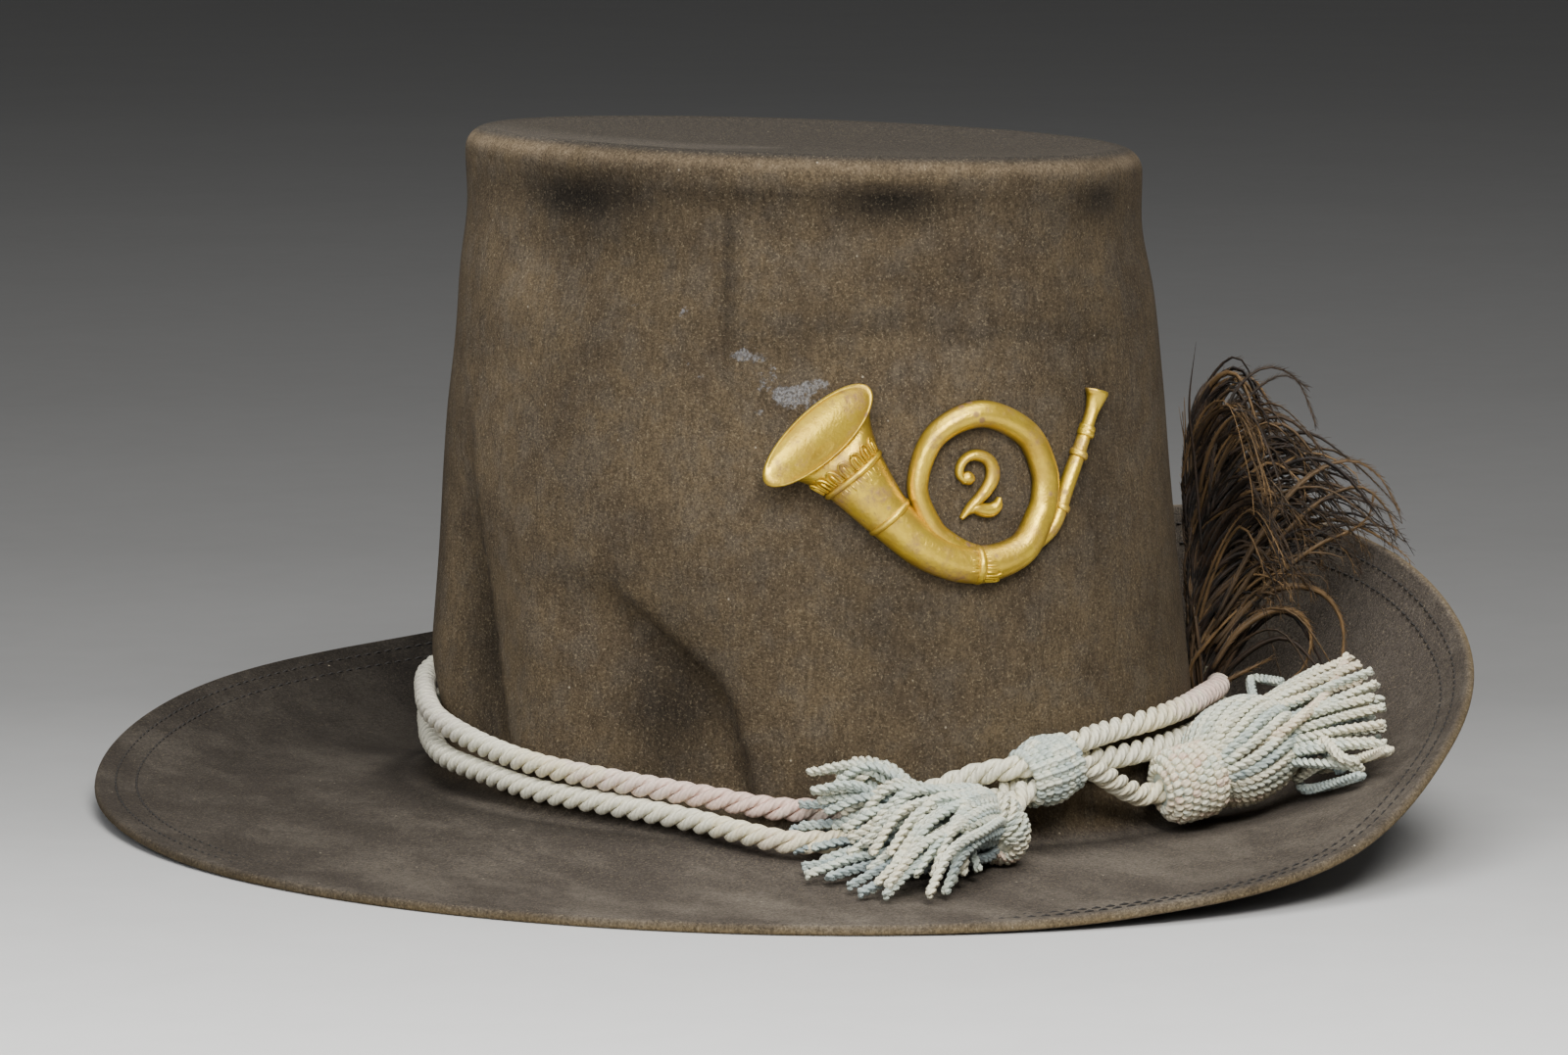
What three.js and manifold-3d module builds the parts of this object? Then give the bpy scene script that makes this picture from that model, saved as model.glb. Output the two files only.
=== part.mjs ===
// A felt dress hat with a tall crown, a wide brim turned up on the wearer's left, a worsted hat cord with a
// slide and two tassels, a plume, a stamped brass horn and a brass numeral.
// Millimetres, +Z up. The wearer faces -Y, so the wearer's left is +X. The hat stands on its brim at z = 0.
// A direction is in degrees anticlockwise from above: 0 the wearer's left, -90 the front, 90 the back.
import * as THREE from "three";
import { mergeVertices } from "three/addons/utils/BufferGeometryUtils.js";
import Module from "manifold-3d";

const wasm = await Module();
wasm.setup();

// ---- driving dimensions ----
const FELT = 2.4; // thickness of the felt
const GAP = 0.3; // between pieces that touch
const AROUND = 48; // facets round the hat

// The crown's outer half sizes where it meets the brim.
const CROWN_FOOT = { across: 91, along: 104.5, height: 5.8 };
const FOOT_TILT = { lowest: 15, swing: 3 }; // the foot is this much lower at one side and higher at the other
const CROWN_HEAD = { across: 77.5, along: 92, height: 162.9 }; // the same at the edge of the tip
const CROWN_LEAN = { x: -2, y: 1 }; // how far the tip sits off the middle of the foot
const TIP_SLANT = { x: -0.022, y: 0.013 }; // how the tip slopes, in mm of height for each mm
const TIP_EDGE = 5.5; // radius of the rounded edge round the tip
const TIP_DIP = 3; // how far the middle of the tip has sunk
const WAIST = { depth: 1.6, share: 0.88, spread: 0.07 }; // the slight hollow all round, under the tip
const BREAK_RADIUS = 5; // of the bend from crown to brim
const BRIM_WIDTH = 80;

// Slope of the brim in degrees, rising outwards, at three places across its width.
const BRIM_SLOPES = [
  { direction: -180, inner: -9, middle: -4, edge: 1 },
  { direction: -150, inner: -10, middle: -6, edge: 1 },
  { direction: -120, inner: -10, middle: -5, edge: 3 },
  { direction: -98, inner: -8, middle: -4, edge: 9 },
  { direction: -80, inner: -7, middle: 3, edge: 18 },
  { direction: -65, inner: -4, middle: 20, edge: 38 },
  { direction: -48, inner: 0, middle: 37, edge: 60 },
  { direction: -30, inner: 5, middle: 60, edge: 78 },
  { direction: 0, inner: 2, middle: 76, edge: 84 },
  { direction: 30, inner: -13, middle: 66, edge: 78 },
  { direction: 60, inner: -17, middle: 38, edge: 52 },
  { direction: 90, inner: -13, middle: 17, edge: 36 },
  { direction: 120, inner: -11, middle: 9, edge: 25 },
  { direction: 150, inner: -9, middle: 0, edge: 8 },
];

// Hollows pressed into the crown: where each is, how far it spreads in degrees and in height, and its depth.
const CROWN_DENTS = [
  { name: "front pinch", direction: -149, height: 29, spread: 17, tall: 34, depth: 6 },
  { name: "side pinch", direction: 176, height: 25, spread: 13, tall: 44, depth: 5 },
  { name: "under the tip, right", direction: -162, height: 134, spread: 18, tall: 9, depth: 3 },
  { name: "under the tip, front", direction: -102, height: 129, spread: 14, tall: 9, depth: 3 },
  { name: "back pinch", direction: 70, height: 41, spread: 18, tall: 30, depth: 4 },
  { name: "under the cord, right", direction: 150, height: 14, spread: 13, tall: 16, depth: 4.5 },
];

// The slide is a worked ball with a bore for three passes of the cord. It lies on the crown with its axis
// turned and tilted a little, rising towards the wearer's left.
const CORD = { diameter: 4.8, sides: 7, steps: 160 };
const SLIDE = {
  direction: -91.2,
  off: 8.2,
  height: 23.4,
  radius: 8,
  length: 13.5,
  lip: 0.8, // between the bore and the outside at the slide's two ends
  turn: 2,
  tilt: 14.5,
};
const PASS_CIRCLE = 3.55; // radius of the circle on which the three passes lie inside the slide
const PASS_TWIST = -120; // how far the three passes turn about each other on their way through

// The cord's route, by height and by how far its middle lies off the crown, dents left out. It leaves the
// left tassel, passes the slide, goes round low, passes the slide, goes round high, passes the slide and ends
// in the right tassel. The directions go on past 180 on each round.
const LOW_ROUND = [
  { direction: -78.5, height: 23.6, off: 3.4 },
  { direction: -66, height: 24, off: 3 },
  { direction: -54, height: 24.2, off: 3 },
  { direction: -43, height: 24.2, off: 3.6 },
  { direction: -34, height: 24.2, off: 6.4 },
  { direction: -27, height: 24.2, off: 7.8 },
  { direction: -20, height: 24.2, off: 6.4 },
  { direction: -11, height: 24, off: 3.6 },
  { direction: 2, height: 23.4, off: 3 },
  { direction: 24, height: 22.4, off: 3 },
  { direction: 48, height: 21.8, off: 3 },
  { direction: 72, height: 21.6, off: 3 },
  { direction: 96, height: 21.4, off: 3 },
  { direction: 120, height: 20.8, off: 3 },
  { direction: 134, height: 19.2, off: 2.4 },
  { direction: 142, height: 18.4, off: 0.4 },
  { direction: 150, height: 17.8, off: -0.8 },
  { direction: 159, height: 17.2, off: -0.2 },
  { direction: 171, height: 16, off: 1.2 },
  { direction: 183, height: 14.8, off: 0.6 },
  { direction: 194, height: 13.4, off: 1.2 },
  { direction: 204, height: 12.6, off: 0.8 },
  { direction: 213, height: 12, off: 2 },
  { direction: 221, height: 11.2, off: 5.4 },
  { direction: 228, height: 10.4, off: 10.6 },
  { direction: 235, height: 9.8, off: 16 },
  { direction: 242, height: 10.2, off: 14.4 },
  { direction: 249, height: 12, off: 11 },
  { direction: 255, height: 14.6, off: 9.2 },
  { direction: 259, height: 16, off: 9.6 },
];
const HIGH_ROUND = [
  { direction: -77.5, height: 29.8, off: 3.2 },
  { direction: -66, height: 30.8, off: 3 },
  { direction: -55, height: 31.3, off: 3 },
  { direction: -43, height: 31.2, off: 3.6 },
  { direction: -34, height: 30.8, off: 6.4 },
  { direction: -27, height: 30.2, off: 7.8 },
  { direction: -20, height: 30.2, off: 6.4 },
  { direction: -11, height: 31, off: 3.6 },
  { direction: 2, height: 32.4, off: 3 },
  { direction: 26, height: 33, off: 3 },
  { direction: 50, height: 33.4, off: 3 },
  { direction: 74, height: 33.4, off: 3 },
  { direction: 98, height: 32.4, off: 3 },
  { direction: 122, height: 29.8, off: 3 },
  { direction: 135, height: 28.3, off: 2.7 },
  { direction: 143, height: 27.4, off: 1.5 },
  { direction: 150, height: 26.6, off: 0.7 },
  { direction: 158, height: 25.6, off: 1.1 },
  { direction: 166, height: 24.2, off: 1.5 },
  { direction: 174, height: 22.8, off: 1 },
  { direction: 183, height: 21.6, off: 0.6 },
  { direction: 194, height: 20.4, off: 1.2 },
  { direction: 204, height: 19.4, off: 0.6 },
  { direction: 213, height: 18.4, off: 0.4 },
  { direction: 222, height: 17.2, off: 1.4 },
  { direction: 233, height: 15, off: 3 },
  { direction: 243, height: 15.8, off: 3.1 },
  { direction: 252, height: 18.6, off: 3 },
  { direction: 259, height: 22.6, off: 4.2 },
];

// The tassels lie on the brim: reach is how far out along it, lift how far above it. Each has a worked head
// and a skirt of thick strands, gathered in locks that end at the tips listed here.
const LEFT_TASSEL = {
  head: { direction: -101.5, reach: 20.5, lift: 8.7, long: 5.8, wide: 7, tall: 8.2 },
  body: { direction: -109, reach: 27.5, lift: 8.8, long: 16, wide: 12, tall: 8 },
  tips: [
    { direction: -123, reach: 3.4, lift: 16.5 },
    { direction: -117, reach: 5, lift: 18 },
    { direction: -125, reach: 13, lift: 12.5 },
    { direction: -124.5, reach: 22, lift: 9.5 },
    { direction: -123, reach: 33, lift: 5.5 },
    { direction: -119.5, reach: 43, lift: 3 },
    { direction: -115.5, reach: 52, lift: 3 },
    { direction: -112, reach: 53, lift: 3 },
    { direction: -107.5, reach: 44.5, lift: 3 },
    { direction: -118, reach: 24, lift: 12 },
    { direction: -113, reach: 37, lift: 8.5 },
  ],
};
const RIGHT_TASSEL = {
  head: {
    direction: -67.6,
    height: 16.8,
    off: 12.6,
    radius: 8.3,
    length: 15,
    shoulder: 3.6,
    turn: 13,
    tilt: 10,
  },
  body: { direction: -58, reach: 22.5, lift: 12.6, long: 16.5, wide: 13, tall: 10.8 },
  tips: [
    { direction: -41, reach: 49.5, lift: 13.5 },
    { direction: -45, reach: 54.5, lift: 13 },
    { direction: -49, reach: 57.5, lift: 11.5 },
    { direction: -53, reach: 57.5, lift: 9 },
    { direction: -57, reach: 57.5, lift: 6.5 },
    { direction: -60, reach: 52.5, lift: 4.6 },
    { direction: -63.5, reach: 43.5, lift: 4 },
    { direction: -67.5, reach: 36, lift: 4.6 },
    { direction: -48.5, reach: 39.5, lift: 17 },
  ],
};
const LOCK = { sides: 6, steps: 3, root: 4, tip: 4.4, belly: 1.4, flat: 0.5 }; // of a tassel's skirt

// The plume: its quill is tucked between the cord and the crown, and its locks arch out from the stem over
// the turned-up brim. A lock leaves the stem at a height and ends this far out from the crown's foot and this
// far forward.
const PLUME = {
  direction: -27,
  stem: [
    { direction: -27, height: 14, off: 2.8 },
    { direction: -27, height: 34, off: 2.8 },
    { direction: -26, height: 52, off: 4.5 },
    { direction: -24, height: 76, off: 6.5 },
    { direction: -22, height: 100, off: 8 },
  ],
  locks: [
    { from: 88, out: 18, forward: 1, height: 94, arch: 10 },
    { from: 79, out: 28, forward: 3, height: 88, arch: 9 },
    { from: 70, out: 37, forward: 5, height: 81, arch: 10 },
    { from: 60, out: 44, forward: 7, height: 73, arch: 12 },
    { from: 51, out: 46, forward: 2, height: 66, arch: 12 },
    { from: 42, out: 33, forward: 8, height: 62, arch: 8 },
    { from: 37, out: 20, forward: 7, height: 56, arch: 4 },
    { from: 34.5, out: 31, forward: 11, height: 34, arch: 16 },
    { from: 82, out: 15, forward: 24, height: 83, arch: 12 },
    { from: 62, out: 19, forward: 23, height: 64, arch: 12 },
    { from: 82, out: 14, forward: -24, height: 85, arch: 12 },
    { from: 62, out: 20, forward: -25, height: 67, arch: 12 },
  ],
};
const QUILL = { sides: 6, steps: 6, root: 2.2, tip: 1.3, belly: 0, flat: 1 };
const PLUME_LOCK = { sides: 4, steps: 4, root: 2.4, tip: 2, belly: 4.4, flat: 0.4 };

// The horn and the numeral, laid flat about the middle of the horn's loop: u to the wearer's left, v up.
const BADGE = { direction: -97.2, height: 88.8, turning: 85 };
// The loop comes out from under the horn's body and thickens as it goes round and on into the body.
const LOOP = { u: 0.9, radius: 15.9 };
const LOOP_TURNS = [
  { turn: 258, width: 3.9, relief: 2.3 },
  { turn: 246, width: 4.4, relief: 2.8 },
  { turn: 234, width: 4.7, relief: 3.1 },
  { turn: 216, width: 4.8, relief: 3.3 },
  { turn: 180, width: 4.9, relief: 3.4 },
  { turn: 135, width: 5.5, relief: 3.5 },
  { turn: 90, width: 6.3, relief: 3.6 },
  { turn: 45, width: 6.7, relief: 3.7 },
  { turn: 10, width: 6.9, relief: 3.7 },
  { turn: -14, width: 6.9, relief: 3.7 },
];
const HORN_BODY = [
  { u: 16.8, v: 2, width: 6.5, relief: 3.6 },
  { u: 15.4, v: -6.9, width: 6.9, relief: 3.8 },
  { u: 9.4, v: -15.3, width: 7.5, relief: 4.1 },
  { u: -1.9, v: -18.6, width: 8.6, relief: 4.6 },
  { u: -12.6, v: -15.2, width: 9.6, relief: 5.2 },
  { u: -21.5, v: -7.3, width: 11.2, relief: 5.7 },
  { u: -29.2, v: 2.2, width: 15.6, relief: 6.6 },
  { u: -31.8, v: 5.5, width: 18.6, relief: 7 },
  { u: -33.9, v: 8, width: 22.6, relief: 5.6 },
  { u: -35.7, v: 10.1, width: 27.6, relief: 3.2 },
];
const MOUTHPIECE = [
  { u: 12.5, v: -15, width: 3.4, relief: 2.4 },
  { u: 18.5, v: -10.2, width: 3.8, relief: 2.6 },
  { u: 22.9, v: -2, width: 3.8, relief: 2.6 },
  { u: 27.3, v: 5.5, width: 3.4, relief: 2.5 },
  { u: 30.3, v: 10.6, width: 3, relief: 2.4 },
  { u: 32.8, v: 14.8, width: 3, relief: 2.4 },
  { u: 34.3, v: 17.6, width: 4.6, relief: 3 },
  { u: 35.1, v: 19.6, width: 6.2, relief: 3.4 },
];
// Raised rings round the horn: where each crosses it, which way the tube runs there in degrees, and its size.
const COLLARS = [
  { name: "bell", u: -29.2, v: 2.2, runs: 132, width: 17, relief: 7.4 },
  { name: "middle", u: -21.5, v: -7.3, runs: 133, width: 12, relief: 6.4 },
  { name: "bottom", u: -1.9, v: -18.6, runs: 175, width: 9.4, relief: 5.3 },
  { name: "mouthpiece, lower", u: 27.3, v: 5.5, runs: 60, width: 4.4, relief: 3.1 },
  { name: "mouthpiece, upper", u: 30.4, v: 10.7, runs: 62, width: 3.9, relief: 3 },
];
const COLLAR_LENGTH = 1.3;
// The bell's dished mouth: an ellipse whose near rim stands high off the crown and whose far rim is low.
const MOUTH = { u: -36.6, v: 11.3, faces: 135.5, long: 15.3, short: 5.5, near: 8.2, far: 3.1, dish: 2.4 };

const NUMERAL_BALL = { u: -3.1, v: 1.3, radius: 1.7, relief: 1.9 };
const NUMERAL_STROKE = [
  { u: -3.6, v: 0.4, width: 1.9, relief: 1.5 },
  { u: -5, v: 2.2, width: 2.1, relief: 1.6 },
  { u: -4.6, v: 4.4, width: 2.2, relief: 1.7 },
  { u: -3, v: 6, width: 2.3, relief: 1.8 },
  { u: -0.7, v: 6.5, width: 2.7, relief: 1.9 },
  { u: 1.8, v: 5.6, width: 3.1, relief: 2 },
  { u: 3.1, v: 3.5, width: 3.5, relief: 2 },
  { u: 2.9, v: 1, width: 3.5, relief: 2 },
  { u: 1.4, v: -1.4, width: 3.1, relief: 1.9 },
  { u: -0.7, v: -3.6, width: 2.7, relief: 1.8 },
  { u: -2.9, v: -5.6, width: 2.3, relief: 1.7 },
  { u: -5.1, v: -7.9, width: 1, relief: 1.3 },
];
const NUMERAL_BASE = [
  { u: -3.6, v: -6.5, width: 1.6, relief: 1.4 },
  { u: -1.8, v: -5.6, width: 2.8, relief: 1.8 },
  { u: 0.4, v: -6.1, width: 3.4, relief: 1.9 },
  { u: 2.4, v: -6.1, width: 3.4, relief: 1.9 },
  { u: 3.9, v: -5, width: 2.7, relief: 1.8 },
  { u: 4.5, v: -3.3, width: 1, relief: 1.3 },
];

// Plain wire posts behind the brass, through holes in the felt.
const POST = { radius: 0.8, hole: 1.2, inside: 1.8 };
const HORN_POSTS = [
  { u: -25, v: -3 },
  { u: 0.75, v: 15.6 },
  { u: 12, v: -13.4 },
];
const NUMERAL_POSTS = [{ u: 1.2, v: -6.4 }];

// ---- small helpers ----
const UP = new THREE.Vector3(0, 0, 1);
const radians = (degrees) => (degrees * Math.PI) / 180;
const mix = (from, to, share) => from + (to - from) * share;

// A value that goes smoothly through the rows of a table round the whole hat.
function roundTable(rows, column) {
  const sorted = [...rows].sort((a, b) => a.direction - b.direction);
  const count = sorted.length;
  return (direction) => {
    const d = THREE.MathUtils.euclideanModulo(direction + 180, 360) - 180;
    let i = sorted.findLastIndex((row) => row.direction <= d);
    if (i < 0) i = count - 1;
    const at = (k) => sorted[(k + 2 * count) % count];
    const span = (k) => THREE.MathUtils.euclideanModulo(at(k + 1).direction - at(k).direction, 360);
    const slope = (k) => (at(k + 1)[column] - at(k - 1)[column]) / (span(k - 1) + span(k));
    const width = span(i);
    const t = THREE.MathUtils.euclideanModulo(d - at(i).direction, 360) / width;
    const [from, to] = [at(i)[column], at(i + 1)[column]];
    const [leave, arrive] = [slope(i) * width, slope(i + 1) * width];
    const step = to - from;
    return from + t * leave + t * t * (3 * step - 2 * leave - arrive) + t ** 3 * (leave + arrive - 2 * step);
  };
}

// A closed mesh as a manifold-3d solid, and back.
function toSolid(geometry) {
  const bare = geometry.clone();
  for (const name of ["normal", "uv"]) bare.deleteAttribute(name);
  const merged = mergeVertices(bare, 1e-3);
  return new wasm.Manifold(
    new wasm.Mesh({
      numProp: 3,
      vertProperties: merged.attributes.position.array,
      triVerts: new Uint32Array(merged.index.array),
    }),
  );
}

function toGeometry(solid) {
  const mesh = solid.getMesh();
  const geometry = new THREE.BufferGeometry();
  geometry.setAttribute("position", new THREE.BufferAttribute(new Float32Array(mesh.vertProperties), 3));
  geometry.setIndex(new THREE.BufferAttribute(new Uint32Array(mesh.triVerts), 1));
  return geometry;
}

const joined = (geometries) => geometries.map(toSolid).reduce((all, next) => all.add(next));

// Moves every vertex of a geometry to place(vertex).
function bend(geometry, place) {
  const position = geometry.attributes.position;
  const vertex = new THREE.Vector3();
  for (let i = 0; i < position.count; i++) {
    const moved = place(vertex.fromBufferAttribute(position, i));
    position.setXYZ(i, moved.x, moved.y, moved.z);
  }
  return geometry;
}

// ---- the crown and the brim as surfaces ----
const brimInner = roundTable(BRIM_SLOPES, "inner");
const brimMiddle = roundTable(BRIM_SLOPES, "middle");
const brimEdge = roundTable(BRIM_SLOPES, "edge");

// How far a point of the brim, a share of the way to its edge, lies out from the crown and up from its foot,
// and the slope there.
function brimSection(direction, share) {
  const slopeAt = (s) =>
    s < 0.5
      ? mix(brimInner(direction), brimMiddle(direction), s / 0.5)
      : mix(brimMiddle(direction), brimEdge(direction), (s - 0.5) / 0.5);
  const steps = 40;
  let out = 0;
  let rise = 0;
  for (let i = 0; i < steps * share; i++) {
    const slope = radians(slopeAt((i + 0.5) / steps));
    const length = (BRIM_WIDTH / steps) * Math.min(1, steps * share - i);
    out += Math.cos(slope) * length;
    rise += Math.sin(slope) * length;
  }
  return { out, rise, slope: radians(slopeAt(share)) };
}

// How far the crown is pressed in at a place.
function dentDepth(direction, height) {
  return CROWN_DENTS.reduce((sum, dent) => {
    const turn = THREE.MathUtils.euclideanModulo(direction - dent.direction + 180, 360) - 180;
    const near = (turn / dent.spread) ** 2 + ((height - dent.height) / dent.tall) ** 2;
    return sum + dent.depth * Math.exp(-(near ** 1.5));
  }, 0);
}

const footHeight = (direction) =>
  CROWN_FOOT.height - FOOT_TILT.swing * Math.cos(radians(direction - FOOT_TILT.lowest));

// The outer face of the crown's wall, at a share of the way up from the foot to the tip's edge.
function crownWall(direction, share, inset = 0) {
  const angle = radians(direction);
  const waist = WAIST.depth * Math.exp(-(((share - WAIST.share) / WAIST.spread) ** 2));
  const level = mix(footHeight(direction), CROWN_HEAD.height, share);
  const dent = dentDepth(direction, level) + waist + inset;
  const x = (mix(CROWN_FOOT.across, CROWN_HEAD.across, share) - dent) * Math.cos(angle);
  const y = (mix(CROWN_FOOT.along, CROWN_HEAD.along, share) - dent) * Math.sin(angle);
  const slant = (TIP_SLANT.x * x + TIP_SLANT.y * y) * share;
  return new THREE.Vector3(x + CROWN_LEAN.x * share, y + CROWN_LEAN.y * share, level + slant);
}

// The horizontal direction straight out of the crown's foot.
function outwards(direction) {
  const angle = radians(direction);
  const [x, y] = [Math.cos(angle) / CROWN_FOOT.across, Math.sin(angle) / CROWN_FOOT.along];
  return new THREE.Vector3(x, y, 0).normalize();
}

// The wall at a height above the table.
function crownAt(direction, height, inset = 0) {
  const foot = footHeight(direction);
  return crownWall(direction, (height - foot) / (CROWN_HEAD.height - foot), inset);
}

// A point beside the crown, off millimetres out from where its wall would be without dents.
const beside = ({ direction, height, off }) =>
  crownAt(direction, height, -dentDepth(direction, height)).addScaledVector(outwards(direction), off);

// A point of the brim's upper face, and one that is lifted off it, reach millimetres out along the brim. The
// brim is measured from where the crown's foot would be without dents.
function brimTop(direction, share) {
  const { out, rise } = brimSection(direction, share);
  return crownWall(direction, 0, -dentDepth(direction, footHeight(direction)))
    .addScaledVector(outwards(direction), out)
    .addScaledVector(UP, rise);
}

function aboveBrim({ direction, reach, lift }) {
  const { slope } = brimSection(direction, reach / BRIM_WIDTH);
  return brimTop(direction, reach / BRIM_WIDTH)
    .addScaledVector(outwards(direction), -Math.sin(slope) * lift)
    .addScaledVector(UP, Math.cos(slope) * lift);
}

// ---- felt body ----
// The rows of the felt's outer face, from the middle of the tip to the edge of the brim. The inner face has
// only the rows marked coarse.
const FELT_ROWS = [
  { part: "tip", reach: 0, coarse: true },
  { part: "tip", reach: 0.5, coarse: true },
  { part: "tip", reach: 0.86, coarse: true },
  { part: "roll", turn: 90, coarse: true },
  { part: "roll", turn: 45, coarse: true },
  { part: "roll", turn: 0, coarse: true },
  { part: "wall", share: 0.91, coarse: false },
  { part: "wall", share: 0.85, coarse: true },
  { part: "wall", share: 0.76, coarse: false },
  { part: "wall", share: 0.64, coarse: true },
  { part: "wall", share: 0.5, coarse: false },
  { part: "wall", share: 0.36, coarse: true },
  { part: "wall", share: 0.22, coarse: false },
  { part: "wall", share: 0.11, coarse: true },
  { part: "break", share: 0.2, coarse: true },
  { part: "break", share: 0.8, coarse: true },
  { part: "brim", share: 0.15, coarse: true },
  { part: "brim", share: 0.3, coarse: false },
  { part: "brim", share: 0.45, coarse: true },
  { part: "brim", share: 0.6, coarse: true },
  { part: "brim", share: 0.8, coarse: false },
  { part: "brim", share: 1, coarse: true },
];

function feltPoint(row, direction) {
  if (row.part === "wall") return crownWall(direction, row.share);
  if (row.part === "brim") return brimTop(direction, row.share);
  if (row.part === "break") {
    const above = crownAt(direction, footHeight(direction) + BREAK_RADIUS);
    const beyond = brimTop(direction, BREAK_RADIUS / BRIM_WIDTH);
    return new THREE.QuadraticBezierCurve3(above, crownWall(direction, 0), beyond).getPoint(row.share);
  }
  const wallShare = 1 - TIP_EDGE / (CROWN_HEAD.height - CROWN_FOOT.height);
  const rise = (row.part === "roll" ? Math.sin(radians(row.turn)) : 1) * TIP_EDGE;
  const inset = (row.part === "roll" ? 1 - Math.cos(radians(row.turn)) : 1) * TIP_EDGE;
  const point = crownWall(direction, wallShare, inset).addScaledVector(UP, rise);
  if (row.part === "roll") return point;
  const middle = new THREE.Vector3(CROWN_LEAN.x, CROWN_LEAN.y, CROWN_HEAD.height);
  return point.lerp(middle, 1 - row.reach).addScaledVector(UP, -TIP_DIP * (1 - row.reach ** 3));
}

// The felt as a lathed sheet with an outer and an inner face, each vertex then moved to its place. Where it
// rests it is flattened: neither face comes closer to the table than it would on a flat felt.
function feltGeometry() {
  const rows = FELT_ROWS.length;
  const floored = (point, lowest) => point.setZ(Math.max(lowest, point.z));
  const outer = FELT_ROWS.map((row) =>
    Array.from({ length: AROUND }, (_, i) => floored(feltPoint(row, (-i * 360) / AROUND), FELT)),
  );
  const normalAt = (j, i) => {
    if (j === 0) return UP;
    const along = outer[Math.min(j + 1, rows - 1)][i].clone().sub(outer[j - 1][i]);
    const round = outer[j][(i + 1) % AROUND].clone().sub(outer[j][(i + AROUND - 1) % AROUND]);
    return round.cross(along).normalize();
  };
  const inner = outer.map((ring, j) =>
    ring.map((point, i) => floored(point.clone().addScaledVector(normalAt(j, i), -FELT), 0)),
  );
  const rim = outer[rows - 1].map((point, i) => {
    const along = point.clone().sub(outer[rows - 2][i]).normalize();
    return point
      .clone()
      .lerp(inner[rows - 1][i], 0.5)
      .addScaledVector(along, FELT / 2);
  });
  const rings = [...outer, rim, ...inner.filter((_, j) => FELT_ROWS[j].coarse).reverse()];
  const lathe = new THREE.LatheGeometry(
    rings.map((_, j) => new THREE.Vector2(j % (rings.length - 1) ? 1 : 0, -j)),
    AROUND,
  );
  const position = lathe.attributes.position;
  for (let i = 0; i <= AROUND; i++)
    for (let j = 0; j < rings.length; j++) {
      const point = rings[j][i % AROUND];
      position.setXYZ(i * rings.length + j, point.x, point.y, point.z);
    }
  return lathe;
}

// ---- hat cord and slide ----
// A direction that is tilted up from +X and then turned about the vertical.
const level = ({ turn, tilt }) =>
  new THREE.Vector3(Math.cos(radians(tilt)), 0, Math.sin(radians(tilt))).applyAxisAngle(UP, radians(turn));

const slideAxis = level(SLIDE);
const slideFront = new THREE.Vector3(0, -1, 0).projectOnPlane(slideAxis).normalize();
const slideUp = slideFront.clone().cross(slideAxis);
const slideMiddle = beside(SLIDE);

// One pass of the cord through the slide, coming in at an angle from the front of the bore towards its top.
function slidePass(angle) {
  return [-1, -0.5, 0, 0.5, 1].map((t) => {
    const turned = radians(angle + (PASS_TWIST * (t + 1)) / 2);
    return slideMiddle
      .clone()
      .addScaledVector(slideAxis, t * (SLIDE.length / 2 + 2))
      .addScaledVector(slideFront, PASS_CIRCLE * Math.cos(turned))
      .addScaledVector(slideUp, PASS_CIRCLE * Math.sin(turned));
  });
}

// The cord's two ends, at the faces of the tassels' heads.
const leftHead = aboveBrim(LEFT_TASSEL.head);
const leftEnd = leftHead.clone().add(
  slidePass(-30)[0].sub(leftHead).setLength(LEFT_TASSEL.head.long + GAP),
);
const rightHead = beside(RIGHT_TASSEL.head);
const rightAxis = level(RIGHT_TASSEL.head);
const rightEnd = rightHead.clone().addScaledVector(rightAxis, -RIGHT_TASSEL.head.length / 2 - GAP);

const cordPath = new THREE.CatmullRomCurve3(
  [
    leftEnd,
    ...slidePass(-30),
    ...LOW_ROUND.map(beside),
    ...slidePass(210),
    ...HIGH_ROUND.map(beside),
    ...slidePass(90),
    rightEnd.clone().addScaledVector(rightAxis, -6),
    rightEnd,
  ],
  false,
  "centripetal",
);

// A disc with straight sides, as a shape.
function roundSection(radius, sides) {
  const middle = new THREE.Vector2();
  const corner = (i) => new THREE.Vector2(radius, 0).rotateAround(middle, (i / sides) * 2 * Math.PI);
  return new THREE.Shape(Array.from({ length: sides }, (_, i) => corner(i)));
}

function cordGeometry() {
  cordPath.arcLengthDivisions = 1000;
  return new THREE.ExtrudeGeometry(roundSection(CORD.diameter / 2, CORD.sides), {
    steps: CORD.steps,
    curveSegments: 1,
    extrudePath: cordPath,
  });
}

// A ball with a bore along its axis: a closed profile turned about the axis, then laid along the slide.
function slideGeometry() {
  const bore = PASS_CIRCLE + CORD.diameter / 2 + 2 * GAP;
  const halfAngle = Math.asin(SLIDE.length / 2 / SLIDE.radius);
  const arc = Array.from({ length: 7 }, (_, i) => {
    const turn = mix(-halfAngle, halfAngle, i / 6);
    const out = Math.max(bore + SLIDE.lip, SLIDE.radius * Math.cos(turn));
    return new THREE.Vector2(out, SLIDE.radius * Math.sin(turn));
  });
  const end = SLIDE.length / 2;
  return new THREE.LatheGeometry([new THREE.Vector2(bore, -end), ...arc, new THREE.Vector2(bore, end),
    new THREE.Vector2(bore, -end)], 16);
}

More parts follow.
